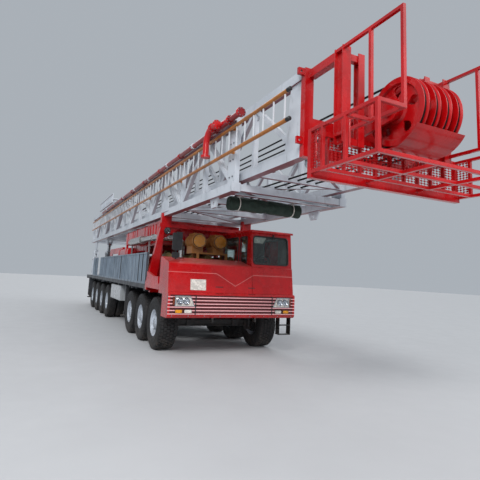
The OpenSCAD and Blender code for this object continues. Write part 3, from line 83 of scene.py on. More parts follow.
class Shader:
    """A node material whose patterns follow the object's own coordinates."""

    def __init__(self, name):
        self.material = bpy.data.materials.new(name)
        self.material.use_nodes = True
        self.tree = self.material.node_tree
        self.bsdf = self.tree.nodes["Principled BSDF"]
        self.coordinates = self.node("ShaderNodeTexCoord").outputs
        self.place = self.coordinates["Object"]

    def node(self, kind, **settings):
        made = self.tree.nodes.new(kind)
        for name, value in settings.items():
            setattr(made, name, value)
        return made

    def feed(self, socket, value):
        """Links an output to a socket, or sets the socket's own value."""
        if isinstance(value, bpy.types.NodeSocket):
            self.tree.links.new(value, socket)
        else:
            socket.default_value = value

    def axis(self, letter, vector=None):
        """One coordinate of a vector, or of the place."""
        made = self.node("ShaderNodeSeparateXYZ")
        self.feed(made.inputs[0], vector or self.place)
        return made.outputs[letter]

    def math(self, operation, a, b=0.0):
        made = self.node("ShaderNodeMath", operation=operation)
        self.feed(made.inputs[0], a)
        self.feed(made.inputs[1], b)
        return made.outputs[0]

    def times(self, *values):
        """Product of values."""
        result = values[0]
        for value in values[1:]:
            result = self.math("MULTIPLY", result, value)
        return result

    def stretch(self, x=1.0, y=1.0, z=1.0):
        made = self.node("ShaderNodeMapping")
        self.feed(made.inputs["Vector"], self.place)
        made.inputs["Scale"].default_value = (x, y, z)
        return made.outputs[0]

    def noise(self, scale, detail=3.0, rough=0.5, place=None):
        made = self.node("ShaderNodeTexNoise")
        self.feed(made.inputs["Vector"], place or self.place)
        made.inputs["Scale"].default_value = scale
        made.inputs["Detail"].default_value = detail
        made.inputs["Roughness"].default_value = rough
        return made.outputs["Fac"]

    def span(self, value, low, high, a=0.0, b=1.0, ease="SMOOTHSTEP"):
        """Goes from a to b as value goes from low to high."""
        made = self.node("ShaderNodeMapRange", interpolation_type=ease)
        self.feed(made.inputs["Value"], value)
        for name, number in (("From Min", low), ("From Max", high), ("To Min", a), ("To Max", b)):
            made.inputs[name].default_value = number
        return made.outputs["Result"]

    def cloud(self, scale, detail, rough, low, high, a=0.0, b=1.0, place=None):
        """Goes from a to b as a noise goes from low to high."""
        return self.span(self.noise(scale, detail, rough, place), low, high, a, b)

    def within(self, value, low, high, soft=0.001):
        """1 where value lies between low and high."""
        return self.times(self.span(value, low - soft, low + soft),
                          self.span(value, high - soft, high + soft, 1.0, 0.0))

    def mix(self, share, a, b):
        made = self.node("ShaderNodeMix", data_type="RGBA")
        self.feed(made.inputs["Factor"], share)
        self.feed(made.inputs["A"], a)
        self.feed(made.inputs["B"], b)
        return made.outputs["Result"]

    def bump(self, height, distance, strength, under=None):
        made = self.node("ShaderNodeBump")
        self.feed(made.inputs["Height"], height)
        made.inputs["Distance"].default_value = distance
        made.inputs["Strength"].default_value = strength
        if under is not None:
            self.feed(made.inputs["Normal"], under)
        return made.outputs["Normal"]

    def done(self, sockets):
        """Feeds the surface shader and gives the material."""
        for name, value in sockets.items():
            self.feed(self.bsdf.inputs[name], value)
        return self.material


DUST, MUD, STAIN, SPECK = (colour(c) for c in ("8f8378", "4a413a", "2a2422", "3a2a22"))


def paint(name, base, shade, rough, coat, dust=0.35, grime=0.35, waves=0.0, splash_z=1.2,
          pattern=None):
    """Sprayed enamel: faded patches, dust on top faces, mud up to splash_z, fine orange peel."""
    s = Shader(name)
    tint = s.mix(s.cloud(1.3, 4.0, 0.6, 0.35, 0.68), base, shade)
    if pattern:
        tint = pattern(s, tint)
    stains = s.cloud(9.0, 5.0, 0.65, 0.56, 0.74, place=s.stretch(z=0.25))
    tint = s.mix(s.times(stains, grime * 0.55), tint, STAIN)
    specks = s.cloud(60.0, 2.0, 0.6, 0.68, 0.76)
    tint = s.mix(s.times(specks, grime * 0.5), tint, SPECK)
    normal = s.node("ShaderNodeNewGeometry").outputs["Normal"]
    settled = s.times(s.span(s.axis("Z", normal), 0.6, 0.95),
                      s.cloud(3.0, 4.0, 0.7, 0.3, 0.7, 0.35, 1.0))
    tint = s.mix(s.times(settled, dust), tint, DUST)
    splashed = s.times(s.span(s.axis("Z"), 0.3, splash_z, 1.0, 0.0),
                       s.cloud(6.0, 4.0, 0.65, 0.3, 0.75))
    tint = s.mix(s.times(splashed, 0.6), tint, MUD)
    shine = s.math("ADD", s.cloud(5.0, 3.0, 0.5, 0.3, 0.7, rough - 0.06, rough + 0.08),
                   s.times(settled, 0.3))
    edge = s.node("ShaderNodeBevel", samples=4)
    edge.inputs["Radius"].default_value = 0.006
    peel = s.bump(s.noise(420.0, 1.0), 0.0004, 0.25, edge.outputs[0])
    if waves:
        peel = s.bump(s.noise(2.2, 1.0, 0.3), waves, 1.0, peel)
    return s.done({"Base Color": tint, "Roughness": shine, "Normal": peel, "Coat Weight": coat,
                   "Coat Roughness": 0.08, "Specular IOR Level": 0.32})


def metal(name, base, shade, rough, streak=(1.0, 1.0, 1.0), rust=0.0):
    """Bare or plated metal with brushed streaks and a little rust."""
    s = Shader(name)
    lines = s.noise(25.0, 4.0, 0.6, s.stretch(*streak))
    tint = s.mix(s.span(lines, 0.35, 0.65), base, shade)
    spots = s.cloud(7.0, 6.0, 0.7, 0.55, 0.72)
    tint = s.mix(s.times(spots, rust), tint, colour("5a3018"))
    shine = s.math("ADD", s.span(lines, 0.3, 0.7, rough - 0.08, rough + 0.1),
                   s.times(spots, 0.3 * rust))
    return s.done({"Base Color": tint, "Roughness": shine, "Normal": s.bump(lines, 0.0005, 0.4),
                   "Metallic": 1.0 - 0.4 * rust})


def rubber(name):
    """Tyre rubber, greyer with dust towards the ground."""
    s = Shader(name)
    tint = s.mix(s.cloud(14.0, 5.0, 0.7, 0.4, 0.7), colour("141416"), colour("232325"))
    dusty = s.times(s.span(s.axis("Z"), 0.02, 0.5, 1.0, 0.1), s.cloud(8.0, 5.0, 0.7, 0.35, 0.65))
    tint = s.mix(s.times(dusty, 0.55), tint, colour("5b524a"))
    return s.done({"Base Color": tint, "Roughness": s.cloud(30.0, 3.0, 0.5, 0.3, 0.7, 0.6, 0.85),
                   "Normal": s.bump(s.noise(260.0, 2.0), 0.0006, 0.5)})


def plastic(name, base, rough=0.45, grain=0.0004):
    """Moulded or sewn plastic with a fine grain and paler patches."""
    s = Shader(name)
    paler = (*(c * 1.6 for c in base[:3]), 1.0)
    return s.done({"Base Color": s.mix(s.cloud(20.0, 4.0, 0.6, 0.4, 0.7), base, paler),
                   "Roughness": s.cloud(9.0, 3.0, 0.5, 0.3, 0.7, rough - 0.08, rough + 0.12),
                   "Normal": s.bump(s.noise(500.0, 2.0), grain, 0.6)})


def glass(name, tint):
    """Clear panes, hazy in places, that let daylight through."""
    s = Shader(name)
    shadow_ray = s.node("ShaderNodeLightPath").outputs["Is Shadow Ray"]
    return s.done({"Base Color": tint,
                   "Roughness": s.cloud(4.0, 4.0, 0.7, 0.3, 0.8, 0.03, 0.13),
                   "Alpha": s.span(shadow_ray, 0.0, 1.0, 1.0, 0.2),
                   "Transmission Weight": 1.0, "IOR": 1.45})


# Patterns on the paint of single CAD nodes

RED, DEEP_RED = colour("bd080e"), colour("a0060b")
CREASE_Z, CREASE_TIP_Z = 1.78, 1.52         # pressed crease of the front, and the tip of its V
CREASE_X = 0.46                             # half the V's width
GRILLE_Z = (0.898, 1.302)
RIB_Z, RIB_PITCH = 0.902, 0.07              # lowest rib of the grille
BUMPER_LOW_Z = 0.826
CAB_INSIDE_X, CAB_INSIDE_Z = (0.475, 1.476), (1.4, 2.745)
CAB_REAR_Y = BUMPER_Y + 1.85
PANEL_Y, PLATE_LENGTH = BUMPER_Y + 2.06, 0.43      # front of the walkway, and one of its plates
RAILS_Z = (3.905, 4.255)                    # between the rails of the ladder


def crease(s, tint):
    """Painted highlight along the pressed crease, which dips to a V in the middle."""
    dip = s.span(s.math("ABSOLUTE", s.axis("X")), 0.0, CREASE_X, 1.0, 0.0, ease="LINEAR")
    line = s.math("SUBTRACT", CREASE_Z, s.times(dip, CREASE_Z - CREASE_TIP_Z))
    painted_highlight = s.within(s.math("SUBTRACT", s.axis("Z"), line), -0.004, 0.005, 0.003)
    front = s.within(s.axis("Y"), BUMPER_Y - 0.01, BUMPER_Y + 0.14)
    return s.mix(s.times(painted_highlight, front, 0.55), tint, colour("efb2ae"))


def stripes(s, tint):
    """Pale stripes on the ribs of the grille over a darker ground, which is partly painted shade,
    with a painted highlight on the crease and near-black painted shade below the bumper.
    """
    tint = crease(s, tint)
    y, z = s.axis("Y"), s.axis("Z")
    band = s.within(z, *GRILLE_Z)
    turn = s.math("FRACT", s.math("DIVIDE", s.math("SUBTRACT", z, RIB_Z), RIB_PITCH))
    rib = s.within(turn, 0.05, 0.32, 0.03)
    proud = s.within(y, BUMPER_Y - 0.01, BUMPER_Y + 0.004)
    sunk = s.within(y, BUMPER_Y + 0.005, BUMPER_Y + 0.06)
    # the sunk floor of the grille is painted very dark: partly its own dark panel, partly painted
    # shade in the recess
    tint = s.mix(s.times(band, sunk), tint, colour("4a060b"))
    # painted shade: everything below the bumper's lower edge, steps and fittings too, is painted
    # near black
    below = s.span(z, BUMPER_LOW_Z, BUMPER_LOW_Z + 0.003, 1.0, 0.0)
    tint = s.mix(below, tint, colour("141517"))
    return s.mix(s.times(band, rib, proud), tint, colour("f0b4b6"))


def lining(s, tint):
    """Grey lining inside the cab, whose front leans back."""
    # painted highlight along the pressed crease of the cab's front
    tint = crease(s, tint)
    x, y, z = (s.axis(letter) for letter in "XYZ")
    depth = s.math("SUBTRACT", y, s.times(z, 0.099))
    inside = s.times(s.within(x, *CAB_INSIDE_X), s.within(z, *CAB_INSIDE_Z),
                     s.span(depth, BUMPER_Y - 0.041, BUMPER_Y - 0.039),
                     s.span(y, CAB_REAR_Y - 0.001, CAB_REAR_Y + 0.001, 1.0, 0.0))
    return s.mix(inside, tint, colour("6d6e6b"))


def plates(s, tint):
    """Dark joints between the plates of the walkway panels, and their darker ribs."""
    ribs = s.span(s.math("ABSOLUTE", s.axis("X")), 1.541, 1.545)
    tint = s.mix(s.times(ribs, 0.2), tint, colour("4a525b"))
    turn = s.math("FRACT", s.math("DIVIDE", s.math("SUBTRACT", s.axis("Y"), PANEL_Y), PLATE_LENGTH))
    return s.mix(s.within(turn, 0.02, 0.10, 0.012), tint, colour("15171a"))


def silver_boxes(s, tint):
    """The boxes below the deck are bare metal."""
    return s.mix(s.span(s.axis("Z"), 1.40, 1.42, 1.0, 0.0), tint, colour("a3a7aa"))


def painted_underside_reflection(s, tint):
    """Down-facing faces of the mast's members are painted red-brown: painted shade with a painted
    reflection of the red parts below.
    """
    own_upward = s.axis("Z", s.coordinates["Normal"])
    return s.mix(s.span(own_upward, -0.95, -0.6, 0.92, 0.0), tint, colour("7c3a40"))


def rungs(s, tint):
    """White rungs between the rails of the ladder."""
    return s.mix(s.within(s.axis("Z"), *RAILS_Z), tint, colour("cfd3d8"))


def bright_neck(s, tint):
    """The gooseneck beside the standpipe is bright red."""
    return s.mix(s.span(s.axis("X"), -1.375, -1.365, 1.0, 0.0), tint, RED)


# the numbers of a paint are its roughness, coat, dust and grime
MATERIALS = {
    "red": paint("red_enamel", RED, DEEP_RED, 0.26, 0.4, 0.3, 0.15, waves=0.003),
    "face": paint("striped_enamel", RED, DEEP_RED, 0.24, 0.45, 0.3, 0.15, waves=0.004,
                  pattern=stripes),
    "boxes": paint("tank_enamel", RED, DEEP_RED, 0.3, 0.6, 0.3, 0.3, pattern=silver_boxes),
    "cabin": paint("cab_enamel", RED, DEEP_RED, 0.24, 0.45, 0.3, 0.15, waves=0.003,
                   pattern=lining),
    # the white's down-facing faces carry a painted red-brown shade and reflection
    "white": paint("white_enamel", colour("c8cdd4"), colour("b4bac2"), 0.42, 0.25, 0.25, 0.6,
                   pattern=painted_underside_reflection),
    "black": paint("chassis_black", colour("1a1b1e"), colour("232427"), 0.5, 0.1, 0.5, 0.5),
    "grey": paint("deck_grey", colour("3b3e43"), colour("2c2e32"), 0.48, 0.1, 0.5, 0.5),
    "panel": paint("panel_grey", colour("8492a0"), colour("6c7a88"), 0.45, 0.1, 0.3, 0.6,
                   pattern=plates),
    "maroon": paint("dark_red_enamel", colour("920a12"), colour("7a0810"), 0.35, 0.4, 0.1, 0.2,
                    pattern=bright_neck),
    "ochre": paint("ochre_enamel", colour("a8713a"), colour("8f5c2c"), 0.45, 0.2),
    "amber": paint("amber_enamel", colour("b86f1d"), colour("965818"), 0.4, 0.3, pattern=rungs),
    "gold": paint("gold_enamel", colour("c98a36"), colour("b0752a"), 0.35, 0.4, 0.1, 0.2),
    "engine": paint("engine_grey", colour("8a7a4a"), colour("6a5d3a"), 0.5, 0.1),
    "rim": paint("rim_enamel", colour("c3cad4"), colour("a9b1bb"), 0.4, 0.3, 0.1, 0.5,
                 splash_z=0.9),
    "steel": metal("bare_steel", colour("9a9da1"), colour("7b7e83"), 0.4, (1, 1, 12), 0.2),
    "chrome": metal("plated_steel", colour("c9ccd0"), colour("b0b4b9"), 0.16),
    "silver": metal("aluminised_pipe", colour("cfd2d5"), colour("a9a7a2"), 0.3, (1, 6, 1), 0.08),
    "rope": metal("wire_rope", colour("2b2b2c"), colour("151515"), 0.5, (1, 9, 9), 0.1),
    "rubber": rubber("tyre_rubber"),
    "plastic": plastic("black_plastic", colour("17181a")),
    "canvas": plastic("green_canvas", colour("13251b"), 0.7, 0.002),
    "vinyl": plastic("seat_vinyl", colour("2a2422"), 0.5, 0.001),
    "blank": plastic("pale_plate", colour("c3bcb4"), 0.4, 0.0002),
    "orange": plastic("amber_lens", colour("c8820e"), 0.2, 0.0002),
    "reflector": plastic("side_reflector", colour("6b2a0e"), 0.2, 0.0002),
    "glass": glass("window_glass", (0.75, 0.85, 0.83, 1.0)),
    "lens": glass("lamp_lens", (0.95, 0.97, 1.0, 1.0)),
}

NODE_LOOKS = {
    "face": ["nose"],
    "cabin": ["cab", "cab_door"],
    "boxes": ["tanks"],
    "red": ["radiators", "mast_rest", "drawworks", "crown", "crown_sheaves"],
    "white": ["mast_base", "mast_side_right", "mast_side_left", "mast_back", "mast_top_right",
              "mast_top_left", "mast_top_back", "monkey_board"],
    "black": ["chassis", "axles"] + [n for n in nodes if n.startswith(("knuckle", "jack"))],
    "grey": ["deck"],
    "panel": ["walkway_right", "walkway_left"],
    "maroon": ["standpipe"],
    "ochre": ["air_cleaners"],
    "amber": ["ladder"],
    "engine": ["engines"],
    "steel": ["main_drum", "lift_barrels"],
    "chrome": ["lift_stages", "lift_rods"],
    "silver": ["exhausts"],
    "rubber": [n for n in nodes if n.startswith("wheel")],
    "plastic": ["mirror_right", "cab_interior"],
    "canvas": ["tarpaulin"],
    "glass": ["cab_glass"],
    "lens": ["lamps"],
}


def dress_nodes():
    """Gives each CAD node its material."""
    for look, names in NODE_LOOKS.items():
        for name in names:
            slots = nodes[name].data.materials
            slots.clear()
            slots.append(MATERIALS[look])


# Pieces made here

# direction of an axis, and the two directions of the circles round it
AXES = {"x": ((1, 0, 0), (0, 1, 0), (0, 0, 1)), "y": ((0, 1, 0), (0, 0, 1), (1, 0, 0)),
        "z": ((0, 0, 1), (1, 0, 0), (0, 1, 0))}
# place of an outline's point (u, v) at w along an axis
UNFOLD = {"x": lambda u, v, w: (w, u, v), "y": lambda u, v, w: (u, w, v),
          "z": lambda u, v, w: (u, v, w)}


def put_in_scene(name, mesh, body, sharp):
    """Object of a mesh that rides on a body, smooth but for edges sharper than an angle."""
    mesh.shade_smooth()
    mesh.set_sharp_from_angle(angle=math.radians(sharp))
    piece = bpy.data.objects.new(name, mesh)
    scene.collection.objects.link(piece)
    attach(piece, body)
    return piece


class Form:
    """A mesh gathered from simple solids, in places on the carrier."""

    def __init__(self, *looks):
        self.looks = looks
        self.points, self.faces, self.marks, self.mark = [], [], [], 0

    def use(self, look):
        """Sets the look of what is added next."""
        self.mark = self.looks.index(look)
        return self

    def add(self, points, faces):
        start = len(self.points)
        self.points += [at(*p) for p in points]
        self.faces += [tuple(start + i for i in face) for face in faces]
        self.marks += [self.mark] * len(faces)

    def skin(self, rows, loop=False, caps=True):
        """Skin over closed rings of points."""
        n, count = len(rows[0]), len(rows)
        faces = []
        for i in range(count if loop else count - 1):
            a, b = i * n, (i + 1) % count * n
            faces += [(a + j, a + (j + 1) % n, b + (j + 1) % n, b + j) for j in range(n)]
        if caps and not loop:
            faces += [tuple(range(n)), tuple(range((count - 1) * n, count * n))]
        self.add([p for row in rows for p in row], faces)

    def plate(self, outline, low, high, axis="y"):
        """Outline of two coordinates, extruded from low to high along the third one."""
        self.skin([[UNFOLD[axis](u, v, w) for u, v in outline] for w in (low, high)])

    def box(self, low, high):
        (x1, y1, z1), (x2, y2, z2) = low, high
        self.plate([(y1, z1), (y2, z1), (y2, z2), (y1, z2)], x1, x2, "x")

    def turn(self, profile, centre, axis, steps, caps=True, start=0.0):
        """Revolved profile of (place along the axis, radius) pairs."""
        along, u, v = (Vector(a) for a in AXES[axis])
        self.skin([[tuple(Vector(centre) + along * s + (u * math.cos(a) + v * math.sin(a)) * r)
                    for a in angles(steps, start)] for s, r in profile], caps=caps)

    def tube(self, path, r, sides=12, loop=False):
        """Round bar along a path."""
        path = [Vector(p) for p in path]
        count = len(path)
        side = None
        rows = []
        for i, p in enumerate(path):
            before = path[i - 1] if i or loop else p
            after = path[(i + 1) % count] if i < count - 1 or loop else p
            ahead = (after - before).normalized()
            if side is None:
                slant = (0.3, 0.2, 1.0) if abs(ahead.z) < 0.9 else (1.0, 0.1, 0.0)
                side = ahead.cross(Vector(slant)).normalized()
            side = (side - ahead * side.dot(ahead)).normalized()
            up = ahead.cross(side)
            rows.append([tuple(p + (side * math.cos(a) + up * math.sin(a)) * r)
                         for a in angles(sides)])
        self.skin(rows, loop=loop)

    def nuts(self, centre, axis, radius, count, size, height):
        """Hexagon heads on a circle, proud along the axis."""
        _, u, v = (Vector(a) for a in AXES[axis])
        head = [(0, size), (height * 0.8, size), (height, size * 0.8)]
        for a in angles(count, math.pi / count):
            place = Vector(centre) + (u * math.cos(a) + v * math.sin(a)) * radius
            self.turn(head, place, axis, 6, start=a)

    def finish(self, name, body, sharp=35.0, stands_for=()):
        """Makes the piece, with a material for each of its looks."""
        mesh = bpy.data.meshes.new(name)
        mesh.from_pydata([tuple(p) for p in self.points], [], self.faces)
        for look in self.looks:
            mesh.materials.append(MATERIALS[look])
        mesh.polygons.foreach_set("material_index", self.marks)
        work = bmesh.new()
        work.from_mesh(mesh)
        bmesh.ops.recalc_face_normals(work, faces=work.faces)
        work.to_mesh(mesh)
        work.free()
        piece = put_in_scene(name, mesh, body, sharp)
        if stands_for:
            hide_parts(*stands_for)
        return piece


def rounded_loop(low, high, r, steps=6):
    """Rectangle with round corners, as (u, v) pairs."""
    corners = ((high[0] - r, high[1] - r, 0), (low[0] + r, high[1] - r, 90),
               (low[0] + r, low[1] + r, 180), (high[0] - r, low[1] + r, 270))
    loop = []
    for u, v, first in corners:
        for k in range(steps + 1):
            a = math.radians(first + 90 * k / steps)
            loop.append((u + r * math.cos(a), v + r * math.sin(a)))
    return loop


# Wheels

AXLES, STEERED_AXLES = 7, 3
TWIN_WIDTH = 0.295
# from the middle of the carrier to the faces that the nuts and the hub cap's bolts sit on
SINGLE_DISC, TWIN_DISC, HUB_CAP = 1.36, 1.175, 1.4505
RIM_R = 0.3005
STUD_CIRCLE_R, CAP_CIRCLE_R, VALVE_R = 0.155, 0.088, 0.272
# half section of a tyre: distance from its side face and radius, from bead to shoulder
TYRE_SIDE = [(0.022, 0.296), (0.008, 0.318), (0.002, 0.36), (-0.004, 0.43), (-0.003, 0.49),
             (0.004, 0.535), (0.018, 0.562), (0.04, 0.574)]
TREAD_ROOT_R, TREAD_R = 0.566, 0.592
TREAD_MARGIN = 0.022           # from a side face to the tread
TREAD_BLOCKS = 44              # in a row round the tyre
BLOCK_EDGES = (0.07, 0.93)     # shares of the row's width
BLOCK_LENGTH = 0.76            # share of the pitch
BLOCK_LEAN = 0.012             # turn of its far corners, in radians
SHOULDER_CUT = 0.010           # off the outer edge of an outer row


def round_wheel(x, centre, r, a):
    """Point at x, at a radius and an angle round a wheel's centre."""
    return (x, centre.y + r * math.cos(a), centre.z + r * math.sin(a))


def tread_block(form, low, high, first, last, centre, shoulder):
    """One block from low to high across and from first to last round the tyre."""
    corners = []
    for a, lean in ((first, 0.0), (last, BLOCK_LEAN)):
        for x, r in ((low, TREAD_ROOT_R), (high, TREAD_ROOT_R), (high, TREAD_R), (low, TREAD_R)):
            if r == TREAD_R and x == shoulder:
                r -= SHOULDER_CUT
            turned = a + lean * (1 if x == high else -1)
            corners.append(round_wheel(x, centre, r, turned))
    form.add(corners, [(0, 1, 5, 4), (1, 2, 6, 5), (2, 3, 7, 6), (3, 0, 4, 7), (0, 3, 2, 1),
                       (4, 5, 6, 7)])


def tyre(form, x1, x2, centre, rows):
    """Carcass with a raised ring on each side wall and rows of tread blocks round it."""
    width = x2 - x1
    section = TYRE_SIDE + [(width - s, r) for s, r in reversed(TYRE_SIDE)]
    form.skin([[round_wheel(x1 + s, centre, r, a) for s, r in section] for a in angles(72)],
              loop=True)
    for wall, out in ((0.0, -1), (width, 1)):
        ring = [(wall - out * 0.004, 0.455), (wall + out * 0.009, 0.46),
                (wall + out * 0.009, 0.468), (wall - out * 0.004, 0.473)]
        form.turn(ring, (x1, centre.y, centre.z), "x", 72, caps=False)
    pitch = 2 * math.pi / TREAD_BLOCKS
    tread = width - 2 * TREAD_MARGIN
    for k in range(TREAD_BLOCKS):
        for row in range(rows):
            low, high = (x1 + TREAD_MARGIN + tread * (row + edge) / rows for edge in BLOCK_EDGES)
            shoulder = {0: low, rows - 1: high}.get(row)
            first = pitch * (k + 0.5 * (row % 2))
            tread_block(form, low, high, first, first + pitch * BLOCK_LENGTH, centre, shoulder)


def rim_of(name, centre):
    """The rim and hub of a CAD wheel, without its tyre."""
    mesh = nodes[name].data.copy()
    work = bmesh.new()
    work.from_mesh(mesh)
    middle = at(*centre)
    outside = [f for f in work.faces if max(math.hypot(v.co.y - middle.y, v.co.z - middle.z)
                                            for v in f.verts) > RIM_R + 0.001]
    bmesh.ops.delete(work, geom=outside, context="FACES")
    bmesh.ops.remove_doubles(work, verts=work.verts, dist=1e-5)
    work.to_mesh(mesh)
    work.free()
    mesh.materials.clear()
    mesh.materials.append(MATERIALS["rim"])
    rim = put_in_scene(name.replace("wheel", "rim"), mesh, name, 30)
    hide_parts(name)


def studs(name, body, out, disc, centre):
    """Ten wheel nuts on their studs, the hub cap's bolts and the valve, which point out."""
    form = Form("steel", "plastic")
    for a in angles(10):
        place = round_wheel(out * disc, centre, STUD_CIRCLE_R, a)
        form.turn([(0, 0.019), (out * 0.02, 0.019), (out * 0.024, 0.015)], place, "x", 6)
        form.turn([(0, 0.008), (out * 0.045, 0.008)], place, "x", 8)
    form.nuts((out * HUB_CAP, centre.y, centre.z), "x", CAP_CIRCLE_R, 8, 0.008, out * 0.008)
    form.use("plastic").turn([(0, 0.012), (out * 0.05, 0.01)],
                             round_wheel(out * disc, centre, VALVE_R, 0.0), "x", 8)
    form.finish(name, body)


def wheels():
    for i in range(1, AXLES + 1):
        for side, out in (("left", 1), ("right", -1)):
            name = f"wheel_{i}_{side}"
            low, high = corners_of(name)
            centre = (low + high) / 2
            tyres = Form("rubber")
            if i <= STEERED_AXLES:
                disc = SINGLE_DISC
                tyre(tyres, low.x, high.x, centre, 5)
            else:
                disc = TWIN_DISC
                tyre(tyres, low.x, low.x + TWIN_WIDTH, centre, 4)
                tyre(tyres, high.x - TWIN_WIDTH, high.x, centre, 4)
            tyres.finish(f"tyre_{i}_{side}", name, stands_for=[name])
            rim_of(name, centre)
            studs(f"studs_{i}_{side}", name, out, disc, centre)


# Front of the carrier

# outlines on the left, as (x, z) pairs
LAMP_BORDER = ((0.955, 1.072), (1.394, 1.072), (1.394, 1.288), (1.056, 1.288))
LAMP_SEAT = ((0.972, 1.085), (1.378, 1.085), (1.378, 1.275), (1.066, 1.275))
REFLECTOR = ((1.402, 1.102), (1.438, 1.102), (1.438, 1.258), (1.402, 1.258))
HEADLAMPS_X, HEADLAMPS_Z = (1.145, 1.285), 1.18
SMALL_LAMPS_X = {"blank": (1.022, 1.178), "orange": (1.232, 1.378)}
SMALL_LAMPS_Z = (0.936, 1.0)
TAIL_LAMP = ((1.2, 14.45, 1.35), (1.46, 14.484, 1.42))
# foot (y, z) of each sloping face, and how far it leans back per metre of height
SLOPING_FRONT = (0.03, 1.36, 0.08 / 0.6)
SLOPING_SCREEN = (0.13, 1.98, 0.08 / 0.81)
WINDOW_LOW, WINDOW_HIGH = (corner.z for corner in corners_of("cab_glass"))
# windows from corner to corner, as (x, z) or (y, z) pairs
SCREEN = ((0.48, WINDOW_LOW), (1.42, WINDOW_HIGH))
REAR_WINDOW = ((0.58, WINDOW_LOW), (1.37, WINDOW_HIGH))
SIDE_WINDOWS = [((y1, WINDOW_LOW), (y2, WINDOW_HIGH)) for y1, y2 in ((0.4, 0.78), (0.88, 1.8))]
DOOR_WINDOW = ((0.71, 2.05), (1.41, 2.68))
SIDE_WINDOWS_X, REAR_WINDOW_Y, DOOR_X = 0.427, 1.897, 1.523
MIRROR_GLASSES = (((-1.40, 2.27), (-1.22, 2.61)), ((-1.40, 2.095), (-1.27, 2.19)))
BLANK_PLATE = ((-1.064, 1.412), (-0.709, 1.641))
RIVETS_X, RIVETS_Z = (-1.045, -0.728), (1.43, 1.623)
WORK_LAMP = (-1.14, 1.83, 2.80)
CLEANERS_X, CLEANER_Z = (-0.42, 0.15), 2.575
CLEANER_Y = corners_of("air_cleaners")[0].y      # front ends of the air cleaners
BUMPER_BOLTS_X, BUMPER_BOLTS_Z = [-1.45 + 0.3625 * k for k in range(9)], 0.872


def sloping_y(face, z):
    """Place of a sloping face at a height."""
    y, foot, lean = face
    return y + (z - foot) * lean


def headlamp(form, x):
    """Bowl, domed lens and bulb, which look forwards."""
    centre = (x, 0, HEADLAMPS_Z)
    bowl = [(0.010, 0.012), (0.009, 0.03), (0.004, 0.052), (-0.004, 0.068), (-0.006, 0.074),
            (-0.003, 0.079), (0.012, 0.079)]
    dome = [(0.002, 0.066), (-0.008, 0.066), (-0.013, 0.05), (-0.016, 0.025), (-0.017, 0.004)]
    form.use("chrome").turn(bowl, centre, "y", 40)
    form.use("lens").turn(dome, centre, "y", 40)
    form.use("chrome").turn([(-0.002, 0.014), (0.008, 0.014)], centre, "y", 16)


def small_lamp(form, look, low, high):
    """Lens with round corners in a rubber rim, from low to high across."""
    bottom, top = SMALL_LAMPS_Z
    lens = rounded_loop((low, bottom), (high, top), 0.014, 4)
    rim = rounded_loop((low - 0.008, bottom - 0.008), (high + 0.008, top + 0.008), 0.02, 4)
    form.use(look).plate(lens, -0.011, 0.012)
    form.use("plastic").plate(rim, -0.004, 0.013)


def headlamps():
    """Paired headlamps in bright frames, small lamps below, side reflectors and tail lamps."""
    form = Form("chrome", "plastic", "lens", "orange", "blank", "reflector")
    for out in (-1, 1):
        border, seat, marker = ([(out * x, z) for x, z in outline]
                                for outline in (LAMP_BORDER, LAMP_SEAT, REFLECTOR))
        form.use("blank").plate(seat, 0.012, 0.014)
        bezel = ((border, 0.013), (border, -0.01), (seat, -0.01), (seat, 0.013))
        form.use("chrome").skin([[(x, y, z) for x, z in ring] for ring, y in bezel], loop=True)
        for x in HEADLAMPS_X:
            headlamp(form, out * x)
        for look, span in SMALL_LAMPS_X.items():
            small_lamp(form, look, *mirrored(out, *span))
        form.use("reflector").plate(marker, -0.006, 0.014)
        (x1, y1, z1), (x2, y2, z2) = TAIL_LAMP
        low, high = mirrored(out, x1, x2)
        form.use("orange").box((low, y1, z1), (high, y2, z2))
    form.finish("headlamps", "root", stands_for=["lamps"])


def gaskets(form):
    """Rubber round the windscreen, the two inner side windows and the rear window."""
    form.use("plastic")
    form.tube([(x, sloping_y(SLOPING_SCREEN, z) - 0.004, z)
               for x, z in rounded_loop(*SCREEN, 0.07)], 0.017, 10, loop=True)
    for window in SIDE_WINDOWS:
        form.tube([(SIDE_WINDOWS_X, y, z) for y, z in rounded_loop(*window, 0.05)],
                  0.014, 10, loop=True)
    form.tube([(x, REAR_WINDOW_Y, z) for x, z in rounded_loop(*REAR_WINDOW, 0.06)],
              0.014, 10, loop=True)


def wiper(form):
    """Arm, blade and motor cap, hung from the windscreen's head."""
    form.use("plastic")
    form.tube([(1.02, 0.19, 2.745), (1.0, 0.165, 2.7), (0.86, 0.11, 2.4)], 0.007, 8)
    form.tube([(0.80, 0.122, 2.60), (0.86, 0.105, 2.40), (0.90, 0.098, 2.22)], 0.006, 8)
    form.turn([(0, 0.022), (-0.03, 0.022), (-0.036, 0.014)], (1.02, 0.205, 2.745), "y", 20)


def on_front(form, low, high, depths):
    """Plate on the sloping front, from corner to corner and between two depths before it."""
    (x1, z1), (x2, z2) = low, high
    corners = [(x1, z1), (x2, z1), (x2, z2), (x1, z2)]
    form.skin([[(x, sloping_y(SLOPING_FRONT, z) - depth, z) for x, z in corners]
               for depth in depths])


